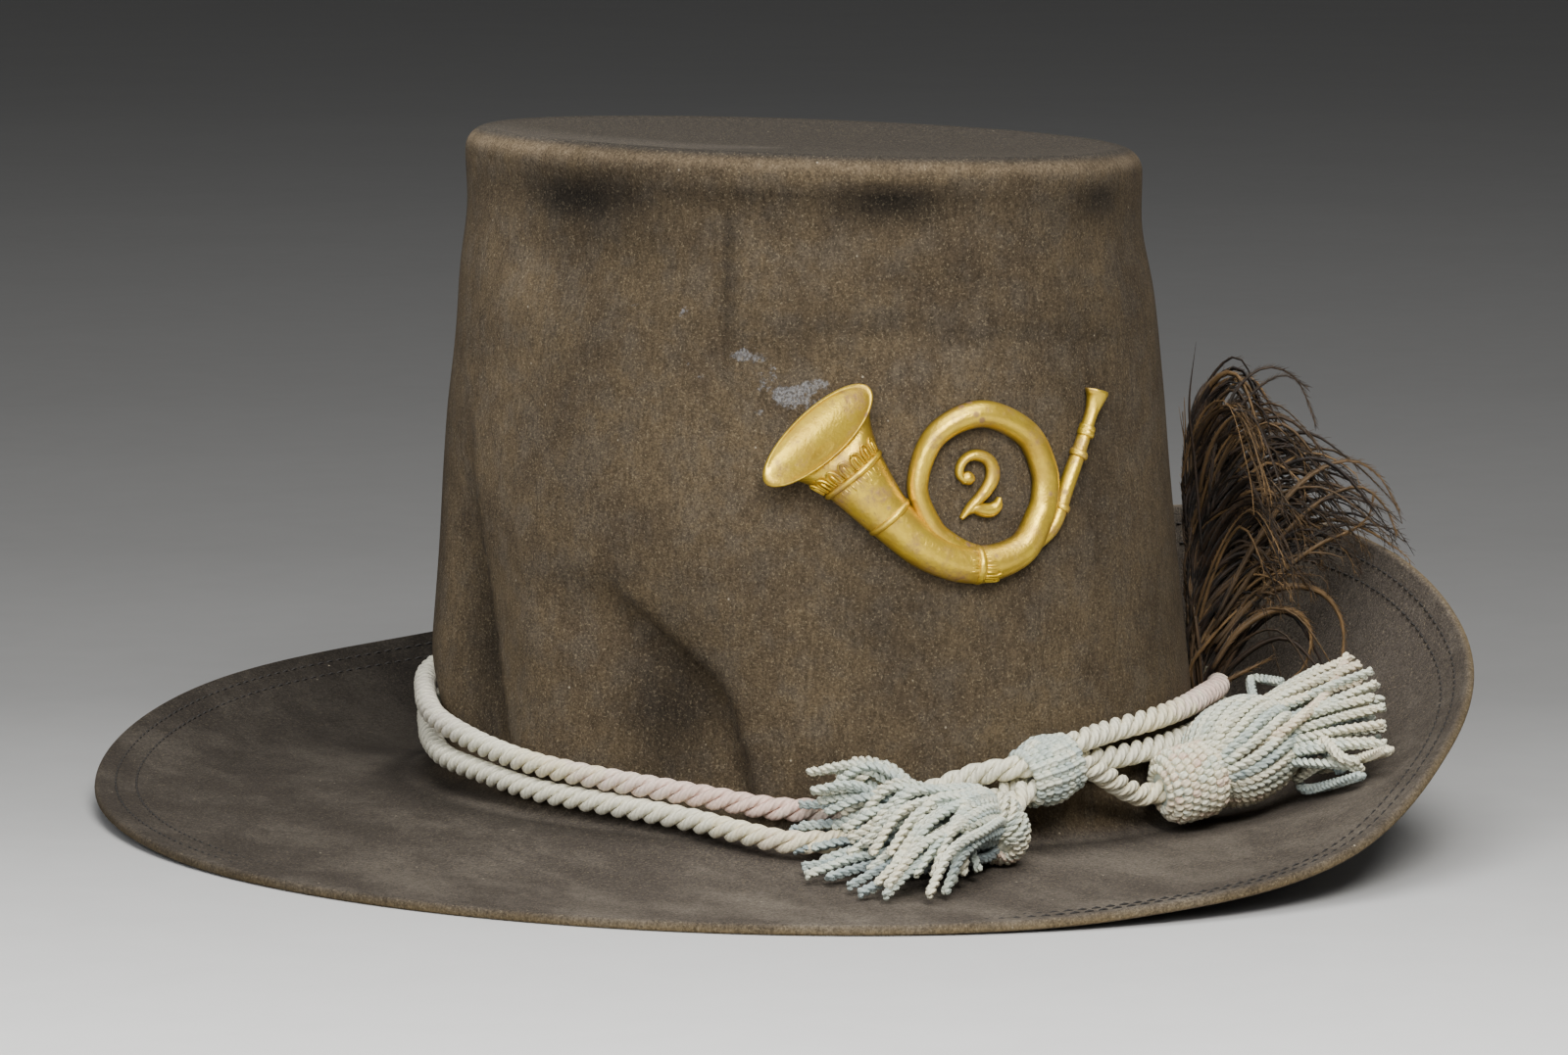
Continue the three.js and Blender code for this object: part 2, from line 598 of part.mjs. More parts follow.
// ---- tassels and plume ----
// A lock of strands along a curve: it tapers, swells in its middle and is flattened towards the way it faces.
function lockGeometry(points, face, { sides, steps, root, tip, belly, flat }) {
  const curve = new THREE.CatmullRomCurve3(points);
  return bend(new THREE.CylinderGeometry(1, 1, 1, sides, steps), (vertex) => {
    const t = vertex.y + 0.5;
    const radius = mix(root, tip, t) + belly * Math.sin(Math.PI * t);
    const side = curve.getTangentAt(t).cross(face).normalize();
    const front = side.clone().cross(curve.getTangentAt(t));
    return curve
      .getPointAt(t)
      .addScaledVector(side, vertex.x * radius)
      .addScaledVector(front, vertex.z * radius * flat);
  });
}

// An egg-shaped lump with its long axis one way.
function lumpGeometry(middle, axis, { long, wide, tall }) {
  const side = UP.clone().cross(axis).normalize();
  const up = axis.clone().cross(side);
  return bend(new THREE.SphereGeometry(1, 12, 8), (vertex) =>
    middle
      .clone()
      .addScaledVector(axis, vertex.x * long)
      .addScaledVector(side, -vertex.z * wide)
      .addScaledVector(up, vertex.y * tall),
  );
}

// The points of one lock, which leaves the head, swells up off the brim and comes down to its tip.
function skirtPoints(root, tip) {
  const between = (share, swell) =>
    aboveBrim({
      direction: mix(root.direction, tip.direction, share),
      reach: mix(root.reach, tip.reach, share),
      lift: mix(root.lift, tip.lift, share) + swell,
    });
  return [between(0.12, 0.4), between(0.38, 2.2), between(0.7, 1.8), between(1, 0)];
}

// A skirt of locks and the lump that they are gathered on, kept clear of the head.
function skirtGeometry({ body, tips }, head, headSolid) {
  const middle = aboveBrim(body);
  const lump = lumpGeometry(middle, middle.clone().sub(head).normalize(), body);
  const locks = tips.map((tip) => lockGeometry(skirtPoints(body, tip), UP, LOCK));
  return toGeometry(joined([lump, ...locks]).subtract(headSolid));
}

function leftHeadGeometry(grown = 0) {
  const { long, wide, tall } = LEFT_TASSEL.head;
  const axis = leftEnd.clone().sub(leftHead).normalize();
  return lumpGeometry(leftHead, axis, { long: long + grown, wide: wide + grown, tall: tall + grown });
}

// A drum with round shoulders, whose flat ends face along its axis.
function rightHeadGeometry(grown = 0) {
  const { radius, length, shoulder } = RIGHT_TASSEL.head;
  const end = length / 2 + grown;
  const arc = [0, 30, 60, 90].map((turn) => ({
    out: radius + grown - shoulder * (1 - Math.sin(radians(turn))),
    along: end - shoulder * (1 - Math.cos(radians(turn))),
  }));
  const profile = [
    new THREE.Vector2(0, -end),
    ...arc.map(({ out, along }) => new THREE.Vector2(out, -along)),
    ...arc.reverse().map(({ out, along }) => new THREE.Vector2(out, along)),
    new THREE.Vector2(0, end),
  ];
  const turned = new THREE.LatheGeometry(profile, 14);
  const pose = new THREE.Quaternion().setFromUnitVectors(new THREE.Vector3(0, 1, 0), rightAxis);
  return turned.applyQuaternion(pose).translate(...rightHead.toArray());
}

// A place in the plume's own frame: out from the crown's foot, forward, and up from the table.
function plumePoint({ out, forward, height }) {
  const straightOut = outwards(PLUME.direction);
  const ahead = straightOut.clone().cross(UP);
  return crownWall(PLUME.direction, 0)
    .setZ(height)
    .addScaledVector(straightOut, out)
    .addScaledVector(ahead, forward);
}

function plumeGeometry() {
  const stem = new THREE.CatmullRomCurve3(PLUME.stem.map(beside));
  const [lowest, highest] = [PLUME.stem[0].height, PLUME.stem.at(-1).height];
  const ahead = outwards(PLUME.direction).cross(UP);
  const quill = lockGeometry(PLUME.stem.map(beside), ahead, QUILL);
  const locks = PLUME.locks.map(({ from, out, forward, height, arch }) => {
    const root = stem.getPointAt((from - lowest) / (highest - lowest));
    const tip = plumePoint({ out, forward, height });
    const between = (share) =>
      root.clone().lerp(tip, share).addScaledVector(UP, arch * 4 * share * (1 - share));
    return lockGeometry([root, between(0.33), between(0.66), tip], ahead, PLUME_LOCK);
  });
  return toGeometry(joined([quill, ...locks]));
}

// ---- horn and numeral ----
// From the badge's flat place, w millimetres off the crown, to its place on the hat.
function onCrown(u, v, w) {
  const direction = BADGE.direction + THREE.MathUtils.radToDeg(u / BADGE.turning);
  return crownAt(direction, BADGE.height + v).addScaledVector(outwards(direction), w);
}

// A stamped ridge: a half-round section that follows rows of places and sizes. Its back lies on the crown.
function ridgeGeometry(rows, steps, sides = 10) {
  const through = (points) => new THREE.CatmullRomCurve3(points, false, "catmullrom");
  const path = through(rows.map(({ u, v }) => new THREE.Vector3(u, v, 0)));
  const size = through(rows.map(({ width, relief }) => new THREE.Vector3(width / 2, relief, 0)));
  return bend(new THREE.CylinderGeometry(1, 1, 1, sides, steps), (vertex) => {
    const t = vertex.y + 0.5;
    const middle = path.getPoint(t);
    const runs = path.getTangent(t);
    const { x: half, y: relief } = size.getPoint(t);
    const up = -vertex.z;
    const back = 0.12 * (1 + Math.min(up, 0));
    return onCrown(
      middle.x - runs.y * half * vertex.x,
      middle.y + runs.x * half * vertex.x,
      GAP + relief * (back + Math.max(up, 0)),
    );
  });
}

function loopRows() {
  return LOOP_TURNS.map(({ turn, width, relief }) => ({
    u: LOOP.u + LOOP.radius * Math.cos(radians(turn)),
    v: LOOP.radius * Math.sin(radians(turn)),
    width,
    relief,
  }));
}

function collarRows({ u, v, runs, width, relief }) {
  const along = new THREE.Vector2(COLLAR_LENGTH / 2, 0).rotateAround(new THREE.Vector2(), radians(runs));
  return [-1, 1].map((end) => ({ u: u + end * along.x, v: v + end * along.y, width, relief }));
}

// The mouth: a turned dish stretched to an ellipse, on a column whose foot lies on the crown.
function mouthGeometry() {
  const foot = -1;
  const profile = [
    [0, foot], [0.5, foot], [1, foot],
    [1, 0.6], [0.93, 1], [0.65, 0.4], [0.3, 0.1], [0, 0],
  ];
  const faces = radians(MOUTH.faces);
  return bend(new THREE.LatheGeometry(profile.map(([x, y]) => new THREE.Vector2(x, y)), 18), (vertex) => {
    const ahead = vertex.x * MOUTH.short;
    const across = vertex.z * MOUTH.long;
    const rim = mix(MOUTH.near, MOUTH.far, (vertex.x + 1) / 2);
    return onCrown(
      MOUTH.u + ahead * Math.cos(faces) + across * Math.sin(faces),
      MOUTH.v + ahead * Math.sin(faces) - across * Math.cos(faces),
      vertex.y === foot ? GAP : rim - MOUTH.dish * (1 - vertex.y),
    );
  });
}

// A post from inside the brass to behind the felt, or the hole that it needs.
function postGeometry({ u, v }, radius, top) {
  const bottom = -(FELT + POST.inside);
  return bend(new THREE.CylinderGeometry(radius, radius, 1, 8), (vertex) =>
    onCrown(u + vertex.x, v - vertex.z, mix(bottom, top, vertex.y + 0.5)),
  );
}

const hornGeometry = () =>
  toGeometry(
    joined([
      ridgeGeometry(loopRows(), 20, 7),
      ridgeGeometry(HORN_BODY, 12, 8),
      ridgeGeometry(MOUTHPIECE, 9, 6),
      ...COLLARS.map((collar) => ridgeGeometry(collarRows(collar), 1, 8)),
      mouthGeometry(),
      ...HORN_POSTS.map((post) => postGeometry(post, POST.radius, 1.6)),
    ]),
  );

function numeralGeometry() {
  const { u, v, radius, relief } = NUMERAL_BALL;
  const ball = bend(new THREE.SphereGeometry(1, 8, 5), (vertex) =>
    onCrown(u + vertex.x * radius, v - vertex.z * radius, GAP + (relief * (1 + vertex.y)) / 2),
  );
  return toGeometry(
    joined([
      ball,
      ridgeGeometry(NUMERAL_STROKE, 14, 6),
      ridgeGeometry(NUMERAL_BASE, 6, 6),
      ...NUMERAL_POSTS.map((post) => postGeometry(post, POST.radius, 1)),
    ]),
  );
}

function piercedFelt() {
  const holes = [...HORN_POSTS, ...NUMERAL_POSTS].map((post) => postGeometry(post, POST.hole, 2));
  return toGeometry(toSolid(feltGeometry()).subtract(joined(holes)));
}

// ---- assembly ----
const material = (color, roughness, metalness = 0) =>
  new THREE.MeshStandardMaterial({ color, roughness, metalness });
const felt = material(0x4a4037, 0.95);
const worsted = material(0xb9b3a2, 0.9);
const blueWorsted = material(0x93a5a8, 0.9);
const feather = material(0x2b1d14, 0.7);
const brass = material(0xb8963a, 0.35, 1);

const hat = new THREE.Group();
function add(name, geometry, finish) {
  const mesh = new THREE.Mesh(geometry, finish);
  mesh.name = name;
  hat.add(mesh);
  return mesh;
}
add("felt_body", piercedFelt(), felt);
add("hat_cord", cordGeometry(), worsted);
const slide = add("cord_slide", slideGeometry(), blueWorsted);
slide.position.copy(slideMiddle);
slide.quaternion.setFromUnitVectors(new THREE.Vector3(0, 1, 0), slideAxis);
add("left_tassel_head", leftHeadGeometry(), worsted);
add("left_tassel", skirtGeometry(LEFT_TASSEL, leftHead, toSolid(leftHeadGeometry(GAP))), blueWorsted);
add("right_tassel_head", rightHeadGeometry(), worsted);
add("right_tassel", skirtGeometry(RIGHT_TASSEL, rightHead, toSolid(rightHeadGeometry(GAP))), blueWorsted);
add("plume", plumeGeometry(), feather);
add("horn_badge", hornGeometry(), brass);
add("numeral", numeralGeometry(), brass);

// The hat stands with the middle of its outline over the origin.
const outline = new THREE.Box3().setFromObject(hat, true);
const middle = outline.getCenter(new THREE.Vector3());
hat.position.set(-middle.x, -middle.y, -outline.min.z);

export default hat;
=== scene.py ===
"""A worn felt dress hat with its cord, tassels, plume and brass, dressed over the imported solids.

Sizes inside the classes are in millimetres in the hat's own frame, whose axis is the crown's, and
HatForm.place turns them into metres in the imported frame. The wearer faces -Y, so the wearer's left is +X.
A direction is in degrees anticlockwise from above: 0 the wearer's left, -90 the front.
"""
import logging
import math
import random
from dataclasses import dataclass
from enum import Enum
from functools import cached_property
from typing import Mapping, Sequence, Union

import bmesh
import bpy
import numpy as np
from bmesh.types import BMesh
from bpy.types import Material, Mesh, Node, NodeSocket, Object
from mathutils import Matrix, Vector, noise


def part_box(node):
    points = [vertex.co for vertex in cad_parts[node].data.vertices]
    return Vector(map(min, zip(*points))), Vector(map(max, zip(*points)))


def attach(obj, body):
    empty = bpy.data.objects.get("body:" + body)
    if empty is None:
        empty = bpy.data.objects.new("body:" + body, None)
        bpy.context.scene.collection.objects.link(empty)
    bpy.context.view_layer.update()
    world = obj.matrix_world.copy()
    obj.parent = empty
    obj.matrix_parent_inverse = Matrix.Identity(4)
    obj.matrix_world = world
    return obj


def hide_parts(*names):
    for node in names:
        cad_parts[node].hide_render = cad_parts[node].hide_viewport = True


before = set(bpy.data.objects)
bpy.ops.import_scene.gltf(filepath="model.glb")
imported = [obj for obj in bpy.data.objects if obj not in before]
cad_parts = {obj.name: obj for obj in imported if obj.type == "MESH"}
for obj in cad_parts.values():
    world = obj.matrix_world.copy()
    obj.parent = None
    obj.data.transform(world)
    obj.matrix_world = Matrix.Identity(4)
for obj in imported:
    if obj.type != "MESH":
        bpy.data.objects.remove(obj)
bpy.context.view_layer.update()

LOG = logging.getLogger("hat")
MM = 0.001
UP = Vector((0.0, 0.0, 1.0))
Row = tuple[float, ...]
Colour = tuple[float, float, float]
Size = Union[float, np.ndarray]


# ---- curves and numbers ----
class Curve(Enum):
    """How a curve through points is spaced: the power of the distance that each span takes."""

    UNIFORM = 0.0
    CENTRIPETAL = 0.5


class Face(Enum):
    """A face of the felt: how far it lies from the upper one, and which way it looks."""

    UPPER = (0.0, 1.0)
    UNDER = (2.4, -1.0)


class Part(Enum):
    """A part of the felt, in order from the middle of its tip to the brim's edge."""

    TIP = "tip"
    ROLL = "roll"
    WALL = "wall"
    BEND = "bend"
    BRIM = "brim"


def mix(start: float, end: float, share: float) -> float:
    """The value a share of the way from start to end."""
    return start + (end - start) * share


def smooth(low: float, high: float, value: float) -> float:
    """0 up to low, 1 from high, and an even rise between them."""
    t = min(1.0, max(0.0, (value - low) / (high - low)))
    return t * t * (3 - 2 * t)


def shares(count: int) -> list[float]:
    """That many even steps from 0 to 1."""
    return [i / (count - 1) for i in range(count)]


def turn_between(direction: float, other: float) -> float:
    """The turn from the other direction, between -180 and 180 degrees."""
    return (direction - other + 180) % 360 - 180


def spread_from(direction: float, height: float, spot: Row) -> float:
    """How far a place lies from a spot of (direction, height, spread, tall), squared and in its own sizes."""
    return (turn_between(direction, spot[0]) / spot[2]) ** 2 + ((height - spot[1]) / spot[3]) ** 2


def spline(points: Sequence[Sequence[float]], spans: int, curve: Curve = Curve.UNIFORM) -> np.ndarray:
    """Points along a smooth curve through the given ones.

    Args:
        points: what the curve passes through.
        spans: how many steps each stretch between two of them takes.
        curve: how the stretches are spaced.

    Returns:
        An array with one row for each point of the curve.
    """
    given = np.array([tuple(p) for p in points], float)
    ends = np.vstack([2 * given[0] - given[1], given, 2 * given[-1] - given[-2]])
    t = np.linspace(0, 1, spans, endpoint=False)[:, None]
    out = []
    for p0, p1, p2, p3 in zip(ends, ends[1:], ends[2:], ends[3:]):
        pairs = ((p0, p1), (p1, p2), (p2, p3))
        d0, d1, d2 = (max(1e-6, float(np.linalg.norm(b - a))) ** curve.value for a, b in pairs)
        leave = ((p1 - p0) / d0 - (p2 - p0) / (d0 + d1) + (p2 - p1) / d1) * d1
        arrive = ((p2 - p1) / d1 - (p3 - p1) / (d1 + d2) + (p3 - p2) / d2) * d1
        bend = -3 * p1 + 3 * p2 - 2 * leave - arrive
        out.append(p1 + t * leave + t**2 * bend + t**3 * (2 * p1 - 2 * p2 + leave + arrive))
    return np.vstack([*out, given[-1:]])


def run_of(points: np.ndarray) -> np.ndarray:
    """The length of the curve up to each of its points."""
    return np.concatenate([[0], np.cumsum(np.linalg.norm(np.diff(points, axis=0), axis=1))])


def evenly(points: np.ndarray, step: float) -> np.ndarray:
    """The same curve with points an even step apart; extra columns are carried along."""
    along = run_of(points[:, :3])
    count = max(3, round(along[-1] / step) + 1)
    at = np.linspace(0, along[-1], count)
    return np.stack([np.interp(at, along, column) for column in points.T], axis=1)


def tangents(points: np.ndarray) -> np.ndarray:
    """The unit direction of the curve at each point."""
    along = np.gradient(points, axis=0)
    return along / np.maximum(np.linalg.norm(along, axis=1), 1e-9)[:, None]


def carried(points: np.ndarray, first: Sequence[float]) -> tuple[np.ndarray, np.ndarray]:
    """Two unit directions across the curve at each point, carried along it without twisting.

    Args:
        points: the curve.
        first: the direction that the first one starts nearest to.

    Returns:
        The two arrays of directions.
    """
    along = tangents(points)
    across = np.array(first, float)
    out = []
    for t in along:
        across = across - t * (across @ t)
        across = across / max(float(np.linalg.norm(across)), 1e-9)
        out.append(across)
    side = np.array(out)
    return side, np.cross(along, side)


@dataclass(frozen=True)
class RoundTable:
    """One column of a table by direction, as a value that changes smoothly round the whole hat."""

    rows: tuple[Row, ...]
    column: int

    def row(self, place: int) -> Row:
        """The row at a place in the table, which runs on round the hat."""
        return self.rows[place % len(self.rows)]

    def span(self, place: int) -> float:
        """The turn from one row to the next."""
        return (self.row(place + 1)[0] - self.row(place)[0]) % 360

    def slope(self, place: int) -> float:
        """How fast the value changes at a row."""
        change = self.row(place + 1)[self.column] - self.row(place - 1)[self.column]
        return change / (self.span(place - 1) + self.span(place))

    def value(self, direction: float) -> float:
        """The value in one direction."""
        turn = turn_between(direction, 0)
        place = max((k for k, row in enumerate(self.rows) if row[0] <= turn), default=len(self.rows) - 1)
        width = self.span(place)
        start = self.row(place)[self.column]
        step = self.row(place + 1)[self.column] - start
        leave, arrive = self.slope(place) * width, self.slope(place + 1) * width
        bend = 3 * step - 2 * leave - arrive
        t = ((turn - self.row(place)[0]) % 360) / width
        return start + t * leave + t * t * bend + t**3 * (leave + arrive - 2 * step)


# ---- meshes ----
class Sheets:
    """Grids from one operator, kept by their size."""

    def __init__(self) -> None:
        """Starts with no grid."""
        self.kept: dict[tuple[int, int], Mesh] = {}

    def get(self, along: int, around: int) -> Mesh:
        """A flat grid of that many by that many faces."""
        if (along, around) not in self.kept:
            body = bmesh.new()
            bmesh.ops.create_grid(body, x_segments=along, y_segments=around, size=1.0)
            mesh = bpy.data.meshes.new("sheet")
            body.to_mesh(mesh)
            body.free()
            self.kept[along, around] = mesh
        return self.kept[along, around]

    def clear(self) -> None:
        """Removes the grids once the pieces are made."""
        for mesh in self.kept.values():
            bpy.data.meshes.remove(mesh)
        self.kept.clear()


SHEETS = Sheets()


def shown(name: str, body: BMesh, finish: Material) -> Object:
    """Makes a finished piece of a bmesh, smooth and in the scene."""
    for face in body.faces:
        face.smooth = True
    mesh = bpy.data.meshes.new(name)
    body.to_mesh(mesh)
    body.free()
    mesh.materials.append(finish)
    piece = bpy.data.objects.new(name, mesh)
    bpy.context.scene.collection.objects.link(piece)
    return piece


def mounted(piece: Object, slot: str, *nodes: str) -> None:
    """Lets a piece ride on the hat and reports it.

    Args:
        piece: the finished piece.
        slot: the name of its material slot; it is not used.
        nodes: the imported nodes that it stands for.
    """
    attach(piece, "root")
    if nodes:
        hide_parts(*nodes)
    LOG.info("%s: %d faces", piece.name, len(piece.data.polygons))


def carry(mesh: Mesh, name: str, values: np.ndarray) -> None:
    """Gives a mesh a named value at each of its points."""
    mesh.attributes.new(name, "FLOAT", "POINT")
    mesh.attributes[name].data.foreach_set("value", values.astype(np.float32))


def close(body: BMesh, apart: float = 1e-6) -> None:
    """Merges the points that lie on each other and turns the faces outwards."""
    bmesh.ops.remove_doubles(body, verts=body.verts, dist=apart)
    bmesh.ops.recalc_face_normals(body, faces=body.faces)


class Bundle:
    """Closed tubes, each a grid rolled up round a path, gathered into one mesh."""

    def __init__(self, values: Sequence[str] = ()) -> None:
        """Starts an empty bundle whose points also carry the named values."""
        self.names = tuple(values)
        self.sizes: list[tuple[int, int]] = []
        self.points: list[np.ndarray] = []
        self.spots: list[np.ndarray] = []
        self.marks: dict[str, list[np.ndarray]] = {name: [] for name in values}

    def add(self, rings: np.ndarray, run: np.ndarray, **values: Size) -> None:
        """Adds one tube.

        Args:
            rings: its points in metres, by ring and then round each ring, the last the same as the first.
            run: how far along the tube each ring lies, in millimetres.
            values: one number, or one for each ring, for each of the bundle's values.
        """
        count, sides = rings.shape[0], rings.shape[1] - 1
        self.sizes.append((count - 1, sides))
        self.points.append(rings.transpose(1, 0, 2).reshape(-1, 3))
        turn = np.repeat(np.arange(sides + 1) / sides, count)
        self.spots.append(np.stack([np.tile(run, sides + 1), turn], axis=1))
        for name in self.names:
            mark = np.asarray(values[name], float)
            if mark.ndim < 2:
                mark = np.repeat(np.broadcast_to(mark, (count,))[:, None], sides + 1, axis=1)
            self.marks[name].append(mark.T.reshape(-1))

    def round(
        self, path: np.ndarray, wide: Size, tall: Size, across: np.ndarray, sides: int, **values: Size,
    ) -> None:
        """Adds a tube of an oval section, closed by a small dome at each end.

        Args:
            path: its middle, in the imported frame's metres.
            wide: half its width along across, in millimetres, for all or for each point.
            tall: half its height, in the same way.
            across: the direction of its width at each point.
            sides: how many faces it has round it.
            values: what the bundle's points carry.
        """
        along = tangents(path)
        side = across - along * np.sum(across * along, axis=1)[:, None]
        side = side / np.maximum(np.linalg.norm(side, axis=1), 1e-9)[:, None]
        high = np.cross(along, side)
        wide = np.broadcast_to(np.asarray(wide, float), (len(path),)) * MM
        tall = np.broadcast_to(np.asarray(tall, float), (len(path),)) * MM
        caps = (path[:1] - along[:1] * 0.5 * tall[0], path[-1:] + along[-1:] * 0.5 * tall[-1])
        turn = np.linspace(0, 2 * math.pi, sides + 1)[None, :, None]
        rings = (
            path[:, None]
            + np.cos(turn) * (side * wide[:, None])[:, None]
            + np.sin(turn) * (high * tall[:, None])[:, None]
        )
        start, end = (np.repeat(cap[:, None], sides + 1, axis=1) for cap in caps)
        grown = {}
        for name, mark in values.items():
            mark = np.broadcast_to(np.asarray(mark, float), (len(path),))
            grown[name] = np.concatenate([mark[:1], mark, mark[-1:]])
        run = run_of(path) / MM
        self.add(np.concatenate([start, rings, end]), np.concatenate([run[:1], run, run[-1:]]), **grown)

    def wire(self, path: np.ndarray, radius: float, sides: int, **values: float) -> None:
        """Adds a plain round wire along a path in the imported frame's metres."""
        self.round(path, radius, radius, np.tile(UP, (len(path), 1)), sides, **values)

    def body(self) -> BMesh:
        """The whole bundle as one bmesh, seams and ends closed and faces outwards."""
        made = bmesh.new()
        for size in self.sizes:
            made.from_mesh(SHEETS.get(*size))
        mesh = bpy.data.meshes.new("bundle")
        made.to_mesh(mesh)
        made.free()
        mesh.vertices.foreach_set("co", np.concatenate(self.points).astype(np.float32).ravel())
        for name in self.names:
            carry(mesh, name, np.concatenate(self.marks[name]))
        corner = np.empty(len(mesh.loops), np.int32)
        mesh.loops.foreach_get("vertex_index", corner)
        mesh.uv_layers.new(name="UVMap")
        spots = np.concatenate(self.spots)[corner]
        mesh.uv_layers["UVMap"].data.foreach_set("uv", spots.astype(np.float32).ravel())
        closed = bmesh.new()
        closed.from_mesh(mesh)
        bpy.data.meshes.remove(mesh)
        close(closed, 1e-7)
        return closed


def turned(profile: Sequence[Sequence[float]], steps: int) -> BMesh:
    """A closed solid turned round the Z axis.

    Args:
        profile: points (out, along) that start and end on the axis, or end where they started.
        steps: how many faces the solid has round it.

    Returns:
        The solid, with its faces outwards.
    """
    body = bmesh.new()
    made = [body.verts.new((out, 0.0, along)) for out, along in profile]
    edges = [body.edges.new(pair) for pair in zip(made, made[1:])]
    bmesh.ops.spin(
        body, geom=made + edges, cent=(0, 0, 0), axis=(0, 0, 1), dvec=(0, 0, 0), angle=2 * math.pi,
        steps=steps, use_merge=True, use_duplicate=False,
    )
    close(body)
    return body


# ---- the hat's form ----
@dataclass(frozen=True)
class Dent:
    """A hollow pressed into the crown: its place, its spread in degrees and in height, and its depth."""

    direction: float
    height: float
    spread: float
    tall: float
    depth: float

    def depth_at(self, direction: float, height: float) -> float:
        """How deep it is at a place of the crown."""
        spot = (self.direction, self.height, self.spread, self.tall)
        return self.depth * math.exp(-(spread_from(direction, height, spot) ** 1.5))


@dataclass(frozen=True)
class Fold:
    """A fold of the crown: a ridge of (height, direction), with the felt sunk on its far side."""

    ridge: tuple[tuple[float, float], ...]
    depth: float
    spread: float
    edge: float
    fade: float = 8.0

    def depth_at(self, direction: float, height: float) -> float:
        """How deep the felt is sunk beside the ridge at a place of the crown."""
        heights = [h for h, _ in self.ridge]
        if height < heights[0] - self.fade or height > heights[-1] + self.fade:
            return 0.0
        crest = float(np.interp(height, heights, [d for _, d in self.ridge]))
        behind = turn_between(crest, direction)
        if behind <= 0 or behind > 3 * self.spread:
            return 0.0
        ends = smooth(heights[0] - self.fade, heights[0], height) * (
            1 - smooth(heights[-1] - self.fade, heights[-1] + self.fade, height)
        )
        fall = math.exp(-((behind / self.spread) ** 2))
        return self.depth * ends * smooth(0, self.edge, behind) * fall


